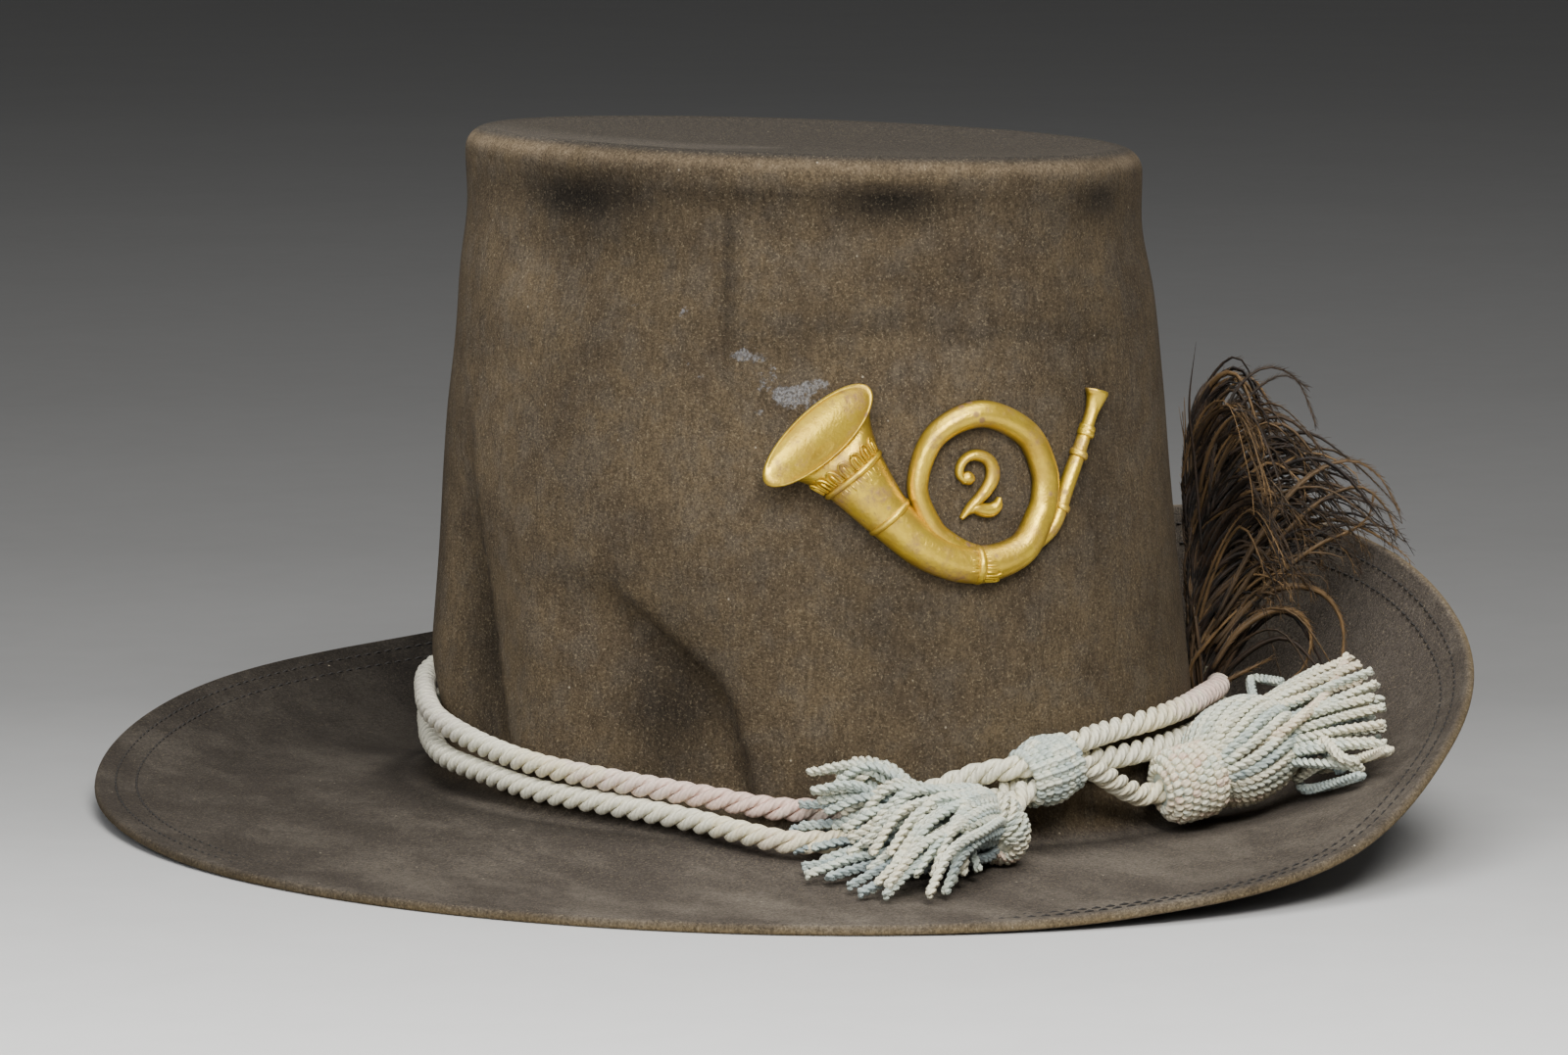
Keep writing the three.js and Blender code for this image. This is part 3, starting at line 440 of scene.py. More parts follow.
@dataclass(frozen=True)
class HatForm:
    """The crown and the brim as surfaces.

    A row of slopes gives a direction and the brim's slope in degrees at its root, half way out and at its edge.
    """

    felt: float = 2.4
    gap: float = 0.3
    foot_across: float = 91.0
    foot_along: float = 104.5
    foot_height: float = 5.8
    tilt_lowest: float = 15.0
    tilt_swing: float = 3.0
    head_across: float = 77.5
    head_along: float = 92.0
    head_height: float = 162.9
    lean: tuple[float, float] = (-2.0, 1.0)
    slant: tuple[float, float] = (-0.022, 0.013)
    tip_edge: float = 5.5
    tip_dip: float = 3.0
    waist: tuple[float, float, float] = (1.6, 0.88, 0.07)
    bend_radius: float = 5.0
    brim_width: float = 80.0
    brim_steps: int = 40
    felt_corner: tuple[float, float] = (-171.9039, -185.4682)
    slopes: tuple[Row, ...] = (
        (-180, -9, -4, 1), (-150, -10, -6, 1), (-120, -10, -5, 3), (-98, -8, -4, 9), (-80, -7, 3, 18),
        (-65, -4, 20, 38), (-48, 0, 37, 60), (-30, 5, 60, 78), (0, 2, 76, 84), (30, -13, 66, 78),
        (60, -17, 38, 52), (90, -13, 17, 36), (120, -11, 9, 25), (150, -9, 0, 8),
    )
    dents: tuple[Dent, ...] = (
        Dent(-149, 29, 17, 34, 6), Dent(176, 25, 13, 44, 5), Dent(-162, 134, 18, 9, 3),
        Dent(-102, 129, 14, 9, 3), Dent(70, 41, 18, 30, 4), Dent(150, 14, 13, 16, 4.5),
    )
    folds: tuple[Fold, ...] = (
        Fold(((18, 184), (24, 183.2), (35, 179.6), (53, 176.6), (67, 174.5), (84, 172)), 5.2, 13, 2.2, 16),
        Fold(((16, -131), (22, -131.6), (37, -134.8), (43, -137.6), (53, -147), (60, -153)), 6.0, 15, 2.6, 8),
        Fold(((118, -135.4), (136, -136), (152, -136.6)), 0.8, 3.2, 1.4, 6),
    )
    worn_dents: tuple[Dent, ...] = (
        Dent(-170, 151.5, 24, 7, 2.4), Dent(-106, 152, 14, 6, 2.0), Dent(-128, 116, 16, 5, 0.9),
        Dent(-92, 121, 18, 7, 0.8), Dent(-150, 122, 14, 4, 0.6), Dent(40, 120, 25, 20, 1.5),
        Dent(110, 60, 20, 16, 2), Dent(140, 120, 16, 22, 1.2), Dent(-115, 125, 12, 3, 0.5),
        Dent(-94, 122.5, 12, 3, 0.5), Dent(-74, 120, 12, 3, 0.5),
    )

    @cached_property
    def shift(self) -> tuple[float, float]:
        """How far this frame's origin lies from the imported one's, in metres."""
        low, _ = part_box("felt_body")
        return low.x - self.felt_corner[0] * MM, low.y - self.felt_corner[1] * MM

    def place(self, point: Sequence[float]) -> tuple[float, float, float]:
        """A point of the hat's own frame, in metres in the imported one."""
        x, y = self.shift
        return point[0] * MM + x, point[1] * MM + y, point[2] * MM

    def placed(self, points: Sequence[Sequence[float]]) -> np.ndarray:
        """Many points of the hat's own frame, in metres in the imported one."""
        return np.array([self.place(p) for p in points])

    def dent(self, direction: float, height: float) -> float:
        """How far the crown is pressed in at a place."""
        return sum(d.depth_at(direction, height) for d in self.dents)

    def worn(self, direction: float, height: float) -> float:
        """How far folds, small hollows and the felt's unevenness sink the crown further."""
        sunk = sum(d.depth_at(direction, height) for d in self.worn_dents)
        sunk += sum(f.depth_at(direction, height) for f in self.folds)
        angle = math.radians(direction)
        spot = Vector((math.cos(angle) * 2.6, math.sin(angle) * 2.6, height / 42))
        return sunk + 0.5 * max(0.0, noise.noise(spot) + 0.25)

    def foot(self, direction: float) -> float:
        """The height of the crown's foot."""
        return self.foot_height - self.tilt_swing * math.cos(math.radians(direction - self.tilt_lowest))

    def wall(self, direction: float, share: float, inset: float = 0.0, worn: bool = False) -> Vector:
        """The outer face of the crown's wall.

        Args:
            direction: where round the hat.
            share: the share of the way up from the foot to the tip's edge.
            inset: how far it is moved in.
            worn: whether folds and unevenness count.

        Returns:
            The point, in millimetres.
        """
        angle = math.radians(direction)
        depth, at, spread = self.waist
        level = mix(self.foot(direction), self.head_height, share)
        sunk = self.dent(direction, level) + depth * math.exp(-(((share - at) / spread) ** 2)) + inset
        if worn:
            sunk += self.worn(direction, level)
        x = (mix(self.foot_across, self.head_across, share) - sunk) * math.cos(angle)
        y = (mix(self.foot_along, self.head_along, share) - sunk) * math.sin(angle)
        rise = (self.slant[0] * x + self.slant[1] * y) * share
        return Vector((x + self.lean[0] * share, y + self.lean[1] * share, level + rise))

    def outwards(self, direction: float) -> Vector:
        """The level direction straight out of the crown's foot."""
        angle = math.radians(direction)
        return Vector((math.cos(angle) / self.foot_across, math.sin(angle) / self.foot_along, 0)).normalized()

    def at(self, direction: float, height: float, inset: float = 0.0, worn: bool = False) -> Vector:
        """The crown's wall at a height above the table."""
        foot = self.foot(direction)
        return self.wall(direction, (height - foot) / (self.head_height - foot), inset, worn)

    def beside(self, direction: float, height: float, off: float) -> Vector:
        """A point beside the crown, off millimetres out from where its wall would be without dents."""
        return self.at(direction, height, -self.dent(direction, height)) + self.outwards(direction) * off

    def section(self, direction: float, share: float) -> tuple[float, float, float]:
        """A point of the brim in its own section.

        Args:
            direction: where round the hat.
            share: the share of the way from the crown to the brim's edge.

        Returns:
            How far it lies out from the crown and up from its foot, and the slope there in radians.
        """
        inner, middle, edge = (RoundTable(self.slopes, column).value(direction) for column in (1, 2, 3))

        def slope(at: float) -> float:
            """The slope in degrees at a share of the way."""
            return mix(inner, middle, at / 0.5) if at < 0.5 else mix(middle, edge, (at - 0.5) / 0.5)

        steps, out, rise = self.brim_steps, 0.0, 0.0
        for i in range(math.ceil(steps * share - 1e-9)):
            angle = math.radians(slope((i + 0.5) / steps))
            length = self.brim_width / steps * min(1.0, steps * share - i)
            out += math.cos(angle) * length
            rise += math.sin(angle) * length
        return out, rise, math.radians(slope(share))

    def start(self, direction: float) -> Vector:
        """Where the brim is measured from: the crown's foot as it would be without dents."""
        return self.wall(direction, 0, -self.dent(direction, self.foot(direction)))

    def brim(self, direction: float, share: float) -> Vector:
        """A point of the brim's upper face, a share of the way to its edge."""
        out, rise, _ = self.section(direction, share)
        return self.start(direction) + self.outwards(direction) * out + UP * rise

    def above(self, direction: float, reach: float, lift: float) -> Vector:
        """A point lifted off the brim, reach millimetres out along it."""
        out, rise, slope = self.section(direction, reach / self.brim_width)
        straight = self.outwards(direction)
        foot = self.start(direction) + straight * out + UP * rise
        return foot - straight * (math.sin(slope) * lift) + UP * (math.cos(slope) * lift)


FORM = HatForm()


# ---- finishes ----
def tint(code: str) -> Colour:
    """A linear colour from a plain six-digit colour code."""
    parts = [int(code[i:i + 2], 16) / 255 for i in (0, 2, 4)]
    return tuple(p / 12.92 if p <= 0.04045 else ((p + 0.055) / 1.055) ** 2.4 for p in parts)


Amount = Union[float, Colour, "Wire"]


class Wire:
    """An output socket that takes part in arithmetic: each sum adds its Math node."""

    def __init__(self, shader: "Shader", socket: NodeSocket) -> None:
        """Wraps a socket of one of the shader's nodes."""
        self.shader = shader
        self.socket = socket

    def _math(self, operation: str, left: Amount, right: Amount) -> "Wire":
        """One Math node on two numbers."""
        return self.shader.node("ShaderNodeMath", {"operation": operation}, {0: left, 1: right})

    def __add__(self, other: Amount) -> "Wire":
        """The sum."""
        return self._math("ADD", self, other)

    __radd__ = __add__

    def __sub__(self, other: Amount) -> "Wire":
        """The difference."""
        return self._math("SUBTRACT", self, other)

    def __rsub__(self, other: Amount) -> "Wire":
        """The difference, from the right."""
        return self._math("SUBTRACT", other, self)

    def __mul__(self, other: Amount) -> "Wire":
        """The product."""
        return self._math("MULTIPLY", self, other)

    __rmul__ = __mul__

    def most(self, other: Amount) -> "Wire":
        """The larger of the two."""
        return self._math("MAXIMUM", self, other)

    def sine(self) -> "Wire":
        """The sine."""
        return self.shader.node("ShaderNodeMath", {"operation": "SINE"}, {0: self})

    def rise(self, low: float, high: float) -> "Wire":
        """0 up to low, 1 from high, and an even rise between them."""
        return self.shader.node(
            "ShaderNodeMapRange", {"interpolation_type": "SMOOTHSTEP", "clamp": True},
            {0: self, 1: low, 2: high, 3: 0.0, 4: 1.0},
        )


class Shader:
    """A material under construction."""

    def __init__(self, name: str) -> None:
        """Starts a material that holds only its surface shader and output."""
        self.material = bpy.data.materials.new(name)
        self.material.use_nodes = True
        self.nodes = self.material.node_tree.nodes
        self.surface = self.nodes["Principled BSDF"]

    def node(
        self, kind: str, settings: Mapping[str, object], sockets: Mapping[Union[int, str], Amount],
        output: Union[int, str] = 0,
    ) -> Wire:
        """Adds any node.

        Args:
            kind: the node's type.
            settings: what is set on it first; stops holds a ramp's places and colours.
            sockets: a value or a link for each of its inputs.
            output: which of its outputs is wanted.

        Returns:
            That output.
        """
        made = self.nodes.new(kind)
        for name, setting in settings.items():
            if name != "stops":
                setattr(made, name, setting)
                continue
            ramp = made.color_ramp.elements
            while len(ramp) < len(setting):
                ramp.new(0.5)
            for element, (at, colour) in zip(ramp, setting):
                element.position = at
                element.color = (*colour, 1.0)
        for key, value in sockets.items():
            self.feed(made, key, value)
        return Wire(self, made.outputs[output])

    def feed(self, node: Node, key: Union[int, str], value: Amount) -> None:
        """Links or sets one input of a node."""
        socket = node.inputs[key]
        if isinstance(value, Wire):
            self.material.node_tree.links.new(value.socket, socket)
        elif isinstance(value, tuple) and len(value) == 3 and len(socket.default_value) == 4:
            socket.default_value = (*value, 1.0)
        else:
            socket.default_value = value

    def spot(self, stretch: Colour = (1.0, 1.0, 1.0)) -> Wire:
        """The place on the hat, in metres, stretched along the axes."""
        place = self.node("ShaderNodeTexCoord", {}, {}, "Object")
        if stretch == (1.0, 1.0, 1.0):
            return place
        return self.node("ShaderNodeVectorMath", {"operation": "MULTIPLY"}, {0: place, 1: stretch})

    def mark(self, name: str) -> Wire:
        """A value that the mesh carries."""
        return self.node("ShaderNodeAttribute", {"attribute_name": name}, {}, "Fac")

    def grain(
        self, scale: float, detail: float = 3.0, rough: float = 0.5, at: Union[Wire, None] = None,
    ) -> Wire:
        """Noise.

        Args:
            scale: how many times it repeats in a metre.
            detail: how many finer layers it has.
            rough: how strong those are.
            at: the place that it is read at, if not the plain one on the hat.

        Returns:
            The noise from 0 to 1.
        """
        return self.node(
            "ShaderNodeTexNoise", {"noise_dimensions": "3D"},
            {"Vector": at or self.spot(), "Scale": scale, "Detail": detail, "Roughness": rough},
        )

    def cells(self, scale: float, output: str = "Distance") -> Wire:
        """Cells of that many in a metre: how far the nearest middle is, or its own colour."""
        sockets = {"Vector": self.spot(), "Scale": scale}
        return self.node("ShaderNodeTexVoronoi", {"feature": "F1"}, sockets, output)

    def blend(self, share: Amount, first: Amount, second: Amount) -> Wire:
        """Two colours mixed by a share."""
        settings = {"data_type": "RGBA", "clamp_factor": True}
        return self.node("ShaderNodeMix", settings, {0: share, 6: first, 7: second}, 2)

    def scaled(self, colour: Wire, share: Amount) -> Wire:
        """A colour made darker or lighter by a share."""
        return self.node("ShaderNodeVectorMath", {"operation": "SCALE"}, {0: colour, "Scale": share})

    def ramp(self, value: Wire, *stops: tuple[float, Colour]) -> Wire:
        """A colour from a value by stops."""
        return self.node("ShaderNodeValToRGB", {"stops": stops}, {0: value})

    def bump(self, height: Wire, strength: float, distance: float) -> Wire:
        """Small relief; the distance is in metres."""
        sockets = {"Strength": strength, "Distance": distance, "Height": height}
        return self.node("ShaderNodeBump", {}, sockets)

    def finish(self, **sockets: Amount) -> Material:
        """Feeds the surface's sockets, named with underscores for spaces, and returns the material."""
        for name, value in sockets.items():
            self.feed(self.surface, name.replace("_", " "), value)
        return self.material


@dataclass(frozen=True)
class WornFelt:
    """Brown-black felt: a short nap, paler where it is rubbed, with a painted highlight on the tip's edge,
    dust, flecks, a few grey scuffs, painted shade and light by place, dirt with painted shade in the hollows
    and painted sheen in the brim's creases.
    """

    name: str = "worn_felt"
    dark: Colour = tint("3f362b")
    warm: Colour = tint("574b39")
    grey: Colour = tint("4e473d")
    brim: Colour = tint("47413b")
    # paler brim felt for the creases and their painted sheen
    brim_crease_and_sheen_pale: Colour = tint("665f56")
    # the tip's greyer felt, darkened as painted shade for its top face
    top: Colour = tint("3b3732")
    # dirt with painted shade: under the tip's rim, along the folds and creases and where the brim meets the
    # crown
    hollow: Colour = tint("1b1814")
    # the rubbed tip edge: worn paler, with a painted highlight along the roll
    rubbed: Colour = tint("766753")
    cut: Colour = tint("6a5b40")
    scuff: Colour = tint("76777a")
    fibre: Colour = tint("93866d")
    fleck: Colour = tint("b8ad98")

    def material(self) -> Material:
        """Builds the felt's nodes."""
        s = Shader(self.name)
        nap = s.grain(1700, 2, 0.65)
        hair = s.grain(800, 3, 0.65, s.spot((1.0, 1.0, 0.3)))
        cloud = s.grain(55, 6, 0.66)
        patch = s.grain(130, 4, 0.62)
        brim, top, edge, hollow = (s.mark(name) for name in ("brim", "top", "cut", "hollow"))
        # lit is what the painted shade leaves of the colour, above 1 where light is painted
        scuffed, lit = s.mark("scuff"), 1 - s.mark("shade")
        colour = s.blend(cloud.rise(0.3, 0.7) * 0.75 + 0.12, self.dark, self.warm)
        colour = s.blend(patch.rise(0.42, 0.66) * 0.55, colour, self.grey)
        # the tip's colour: greyer felt with painted shade on its top
        colour = s.blend(top, colour, self.top)
        # pale streaks on the brim: crease marks with painted sheen
        crease_and_sheen = s.grain(40, 6, 0.66, s.spot((1.0, 0.5, 1.0))).rise(0.4, 0.68) * 0.8
        brim_crease_and_sheen = s.blend(crease_and_sheen, self.brim, self.brim_crease_and_sheen_pale)
        colour = s.blend(brim, colour, brim_crease_and_sheen)
        # dirt and painted shade in the hollows
        colour = s.blend(hollow * (0.85 + patch * 0.3), colour, self.hollow)
        # wear with a painted highlight along the tip's edge
        colour = s.blend(s.mark("rubbed") * (0.4 + patch.rise(0.3, 0.65) * 0.6), colour, self.rubbed)
        colour = s.blend(edge * (0.7 + patch.rise(0.3, 0.6) * 0.3), colour, self.cut)
        smear = ((scuffed - 0.35) * 0.9 + s.grain(420, 4, 0.7)).rise(0.6, 0.72) * scuffed.rise(0.05, 0.4)
        colour = s.blend(smear * (0.3 + nap.rise(0.35, 0.6) * 0.35), colour, self.scuff)
        # the nap's grain, darkened by the painted shade and lightened by the painted light
        colour = s.scaled(colour, (hair.rise(0.3, 0.7) * 0.34 + nap.rise(0.33, 0.67) * 0.52 + 0.56) * lit)
        stray = s.grain(2000, 2, 0.7, s.spot((1.0, 0.7, 0.8))).rise(0.58, 0.68)
        # stray fibres, dimmed by the painted shade and in the hollows
        colour = s.blend(stray * (0.36 - hollow * 0.2) * lit, colour, self.fibre)
        dust = (1 - s.cells(300).rise(0.05, 0.11)) * s.cells(300, "Color").rise(0.82, 0.86)
        colour = s.blend(dust * 0.45, colour, self.fleck)
        rough = nap * 0.1 + 0.88
        relief = s.bump(hair * 0.4 + nap * 0.6, 0.7, 0.0007)
        return s.finish(
            Base_Color=colour, Roughness=rough, Normal=relief, Sheen_Weight=0.02, Sheen_Roughness=0.6,
            Sheen_Tint=(0.75, 0.65, 0.55), Specular_IOR_Level=0.08,
        )


@dataclass(frozen=True)
class Worsted:
    """Spun wool yarn, faded in places: its tone goes through the stops from 0 to 1."""

    name: str
    stops: tuple[tuple[float, Colour], ...]
    # dirt, and painted shade in the grooves between the plies
    dirt_and_groove_shade: Colour = tint("8f8775")
    plies: float = 5.0
    lay: float = 0.55

    def material(self) -> Material:
        """Builds the yarn's nodes."""
        s = Shader(self.name)
        fibre = s.grain(3200, 2, 0.6)
        spread = s.grain(260, 4, 0.65)
        colour = s.ramp(s.mark("tone") + (spread - 0.5) * 0.6, *self.stops)
        spot = s.node("ShaderNodeTexCoord", {}, {}, "UV")
        run, turn = (s.node("ShaderNodeSeparateXYZ", {}, {0: spot}, axis) for axis in "XY")
        ply = ((run * self.lay + turn * self.plies) * (2 * math.pi)).sine() * 0.5 + 0.5
        # painted shade in the grooves between the plies, with dirt in the fibres
        colour = s.blend((1 - ply) * 0.2 + fibre.rise(0.35, 0.65) * 0.1, colour, self.dirt_and_groove_shade)
        colour = s.blend(s.grain(45, 3).rise(0.5, 0.72) * 0.14, colour, self.dirt_and_groove_shade)
        relief = s.bump(ply * 0.8 + fibre * 0.8, 0.8, 0.0005)
        return s.finish(
            Base_Color=colour, Roughness=0.92, Normal=relief, Sheen_Weight=0.12, Sheen_Roughness=0.5,
            Specular_IOR_Level=0.2,
        )


@dataclass(frozen=True)
class Feather:
    """Ostrich barbs: brown-black, with paler edges and tips, partly their own colour and partly painted
    highlight, and a silky gloss.
    """

    name: str = "dark_feather"
    root: Colour = tint("0d0906")
    middle: Colour = tint("24180f")
    pale: Colour = tint("917249")

    def material(self) -> Material:
        """Builds the feather's nodes."""
        s = Shader(self.name)
        streak = s.grain(240, 4, 0.6)
        pale = s.mark("pale")
        colour = s.blend(streak.rise(0.35, 0.65), self.root, self.middle)
        # paler edges and tips: the barbs' own colour with painted highlight
        colour = s.blend(pale * (0.3 + streak * 0.6), colour, self.pale)
        relief = s.bump(s.grain(2600, 2), 0.4, 0.0002)
        return s.finish(
            Base_Color=colour, Roughness=0.55, Normal=relief, Specular_IOR_Level=0.3, Sheen_Weight=0.04,
        )


@dataclass(frozen=True)
class OldBrass:
    """Stamped brass with an old, uneven polish: duller and browner low down from tarnish and painted shade,
    with small dark spots.
    """

    name: str = "old_brass"
    bright: Colour = tint("e6c440")
    warm: Colour = tint("cfab3e")
    tarnish_and_shade: Colour = tint("705a1e")
    patina: Colour = tint("94714f")
    spot: Colour = tint("77564c")

    def material(self) -> Material:
        """Builds the brass's nodes."""
        s = Shader(self.name)
        cloud = s.grain(150, 5, 0.65)
        fine = s.grain(900, 3, 0.6)
        low = 1 - s.mark("raised")
        colour = s.blend(cloud.rise(0.38, 0.66), self.bright, self.warm)
        # tarnish with painted shade on the low sides of the relief
        colour = s.blend(low.rise(0.35, 1.0) * (0.45 + cloud * 0.6), colour, self.tarnish_and_shade)
        spots = (1 - s.cells(330).rise(0.16, 0.36)) * s.cells(330, "Color").rise(0.72, 0.78)
        veil = s.grain(110, 5, 0.66).rise(0.5, 0.64) * (0.3 + fine.rise(0.3, 0.7) * 0.6)
        colour = s.blend(veil, colour, self.patina)
        tarnish = (spots * 0.8).most(s.grain(420, 4, 0.7).rise(0.62, 0.74) * 0.4)
        colour = s.blend(tarnish, colour, self.spot)
        rough = cloud * 0.24 + tarnish * 0.25 + 0.26
        relief = s.bump(fine * 0.4 + cloud * 0.6, 0.55, 0.0005)
        dullness = tarnish.most(veil)
        return s.finish(Base_Color=colour, Metallic=0.8 - dullness * 0.5, Roughness=rough, Normal=relief)


@dataclass(frozen=True)
class Thread:
    """Waxed sewing thread, nearly black."""

    name: str = "brim_thread"
    dark: Colour = tint("161310")
    light: Colour = tint("29241f")

    def material(self) -> Material:
        """Builds the thread's nodes."""
        s = Shader(self.name)
        fibre = s.grain(2400, 3)
        return s.finish(
            Base_Color=s.blend(fibre.rise(0.4, 0.7), self.dark, self.light), Roughness=0.75,
            Normal=s.bump(fibre, 0.5, 0.0002),
        )


@dataclass(frozen=True)
class Paper:
    """The floor: a sheet of paper, pale in front of the hat and darker grey behind it, where the light's
    falloff is painted on as shade.
    """

    name: str = "graded_paper"
    colour: Colour = tint("d9d9d8")
    azimuth: float = -30.0
    nearest: float = 0.4
    depth: float = 5.6
    # painted shade for the light falling off behind the hat: how far back, and what share of the colour
    painted_falloff: tuple[tuple[float, float], ...] = (
        (0.018, 1.0), (0.036, 0.82), (0.054, 0.65), (0.071, 0.47), (0.107, 0.285), (0.17, 0.226),
        (0.268, 0.226), (0.464, 0.31), (0.643, 0.36), (0.964, 0.385),
    )

    def material(self) -> Material:
        """Builds the floor's nodes."""
        s = Shader(self.name)
        x, y = (s.node("ShaderNodeSeparateXYZ", {}, {0: s.spot()}, axis) for axis in "XY")
        turn = math.radians(self.azimuth)
        away = (x * -math.sin(turn) + y * math.cos(turn) + self.nearest) * (1 / self.depth)
        # the paper's colour with the painted falloff
        shade = s.ramp(away, *((at, tuple(c * share for c in self.colour)) for at, share in self.painted_falloff))
        mottle = s.grain(55, 5, 0.6) * 0.09 + s.grain(7, 3) * 0.06 + 0.925
        return s.finish(Base_Color=s.scaled(shade, mottle), Roughness=0.85, Specular_IOR_Level=0.15)


# ---- felt ----
@dataclass
class FeltBody:
    """The crown and the brim in one felt, with its two rows of stitching along the brim's edge.

    A scuff or a hollow gives a direction, a height, how far it spreads in degrees, how tall it is and its
    strength; a hollow is a spot of dirt with painted shade. A painted shade gives a direction and how much
    darker the felt is painted there for the way the light falls round the hat; a negative one is painted light.
    """

    names: tuple[str, ...] = ("brim", "top", "cut", "hollow", "rubbed", "scuff", "shade")
    around: int = 256
    tip_rows: int = 12
    tip_reach: float = 0.97
    tip_crowding: float = 0.8
    roll_rows: int = 10
    wall_rows: int = 58
    wall_ends: Row = (0.957, 0.045)
    bend_rows: Row = (0.08, 0.25, 0.42, 0.6, 0.78, 0.94)
    brim_rows: int = 30
    brim_start: float = 0.085
    rim_row: float = 0.982
    seam_shares: tuple[float, ...] = (0.875, 0.938)
    seam_rows: Row = (-0.012, -0.006, 0, 0.006, 0.012)
    seam_room: float = 0.008
    groove: float = 0.06
    groove_half: float = 0.007
    stitch: float = 2.0
    stitch_rise: Row = (-0.2, 0.12, -0.2)
    stitch_lift: float = 0.05
    pitch: float = 3.3
    thread: float = 0.27
    rim_round: float = 0.85
    rim_turn: float = 1.15
    cut_outside: float = 0.12
    rest_ease: float = 0.5
    # painted shade on the upper wall and roll: from this height to this height it grows to this amount
    high_painted_shade: Row = (95, 130, 0.15)
    scuffs: tuple[Row, ...] = (
        (-143.2, 126.2, 1.6, 1.6, 1.0), (-133, 117.4, 4.5, 2.2, 0.8), (-137.5, 117.5, 2.5, 1.5, 0.6),
        (-126.5, 108.6, 3.6, 2.6, 1.0), (-122.2, 110.8, 3.2, 1.8, 0.9), (-129.5, 113, 3.0, 2.0, 0.75),
        (-153.2, 127.3, 2.6, 1.2, 0.6), (-149, 126.6, 2.2, 1.0, 0.5), (-142.5, 115, 1.2, 1.4, 0.6),
        (-124, 107, 5.5, 4.0, 0.62), (-140, 112.5, 1.2, 1.6, 0.65), (-130.5, 110.5, 3.4, 1.6, 0.7),
        (-131.4, 104, 1.0, 1.6, 0.7), (-131.4, 88, 1.2, 1.4, 0.6),
    )
    # Spots of dirt with painted shade: under the tip's rim, beside the folds' ridges and along the creases.
    hollows: tuple[Row, ...] = (
        (-166, 151.5, 17, 7.5, 1.0), (-110, 152.5, 14, 6, 1.0), (-67, 152, 9, 6, 0.8),
        (-136, 138, 1.1, 20, 0.6), (-125, 153.5, 40, 3.4, 0.6), (171, 42, 8, 34, 0.75),
        (-146, 34, 9, 18, 0.8), (-126, 20, 12, 10, 0.35), (-115, 124, 14, 2.6, 0.4),
        (-92, 121.5, 14, 2.6, 0.4), (-72, 119, 12, 2.6, 0.35), (-112, 60, 14, 20, 0.3),
        (150, 80, 10, 70, 0.35), (-75, 100, 8, 40, 0.25),
    )
    # Painted shade round the crown by direction; the negative amounts on the left are painted light.
    crown_painted_shade: tuple[Row, ...] = (
        (-180, -0.42), (-165, -0.02), (-150, 0.04), (-120, 0.02), (-104, 0.0), (-88, 0.04), (-66, 0.03),
        (-30, 0.1), (60, 0.1), (130, 0.05), (160, -0.4),
    )
    # Painted shade round the brim by direction, deepest behind on the left where the crown's shadow falls; the
    # negative amounts are painted light.
    brim_painted_shade: tuple[Row, ...] = (
        (-180, 0.45), (-165, 0.38), (-150, 0.26), (-130, 0.08), (-110, 0.02), (-80, 0.2), (-60, 0.24),
        (-40, -0.12), (0, -0.16), (40, 0.2), (70, 0.6), (95, 0.8), (125, 0.66), (150, 0.5),
    )

    def stations(self) -> list[tuple[Part, float]]:
        """The rows of the felt from the middle of its tip to the brim's edge: a part, and where in it."""
        near = [seam + off for seam in self.seam_shares for off in self.seam_rows]
        plain = [mix(self.brim_start, 1.0, share) for share in shares(self.brim_rows)]
        apart = [at for at in plain if all(abs(at - row) > self.seam_room for row in near)]
        places = {
            Part.TIP: [self.tip_reach * share**self.tip_crowding for share in shares(self.tip_rows)],
            Part.ROLL: [90 * (1 - share) for share in shares(self.roll_rows)],
            Part.WALL: [mix(*self.wall_ends, share) for share in shares(self.wall_rows)],
            Part.BEND: self.bend_rows,
            Part.BRIM: sorted([*apart, *near, self.rim_row]),
        }
        return [(part, at) for part, rows in places.items() for at in rows]

    def sunk(self, share: float, direction: float) -> float:
        """How far the brim's face lies below its plain form, by unevenness and by the seams' grooves."""
        angle = math.radians(direction)
        spot = Vector((math.cos(angle) * 3, math.sin(angle) * 3, share * 2.2))
        grooves = [self.groove * max(0.0, 1 - abs(share - at) / self.groove_half) for at in self.seam_shares]
        return 0.4 * max(0.0, noise.noise(spot)) + sum(grooves)

    def point(self, part: Part, value: float, direction: float) -> Vector:
        """One point of the felt's outer face.

        Args:
            part: the part of the felt.
            value: where in the part: degrees of the roll, or a share.
            direction: where round the hat.

        Returns:
            The point, in millimetres.
        """
        if part is Part.WALL:
            return FORM.wall(direction, value, worn=True)
        if part is Part.BRIM:
            return FORM.above(direction, value * FORM.brim_width, -self.sunk(value, direction))
        if part is Part.BEND:
            above = FORM.at(direction, FORM.foot(direction) + FORM.bend_radius, worn=True)
            corner = FORM.wall(direction, 0)
            beyond = FORM.brim(direction, FORM.bend_radius / FORM.brim_width)
            return above.lerp(corner, value).lerp(corner.lerp(beyond, value), value)
        share = 1 - FORM.tip_edge / (FORM.head_height - FORM.foot_height)
        turn = math.radians(value) if part is Part.ROLL else math.pi / 2
        inset, rise = (1 - math.cos(turn)) * FORM.tip_edge, math.sin(turn) * FORM.tip_edge
        edge = FORM.wall(direction, share, inset, worn=True) + UP * rise
        if part is Part.ROLL:
            return edge
        middle = Vector((*FORM.lean, FORM.head_height))
        inside = edge.lerp(middle, 1 - value) - UP * (FORM.tip_dip * (1 - value**3))
        uneven = noise.noise(Vector((inside.x / 26, inside.y / 26, 3.0)))
        return inside + UP * (0.5 * uneven * (1 - value**4))

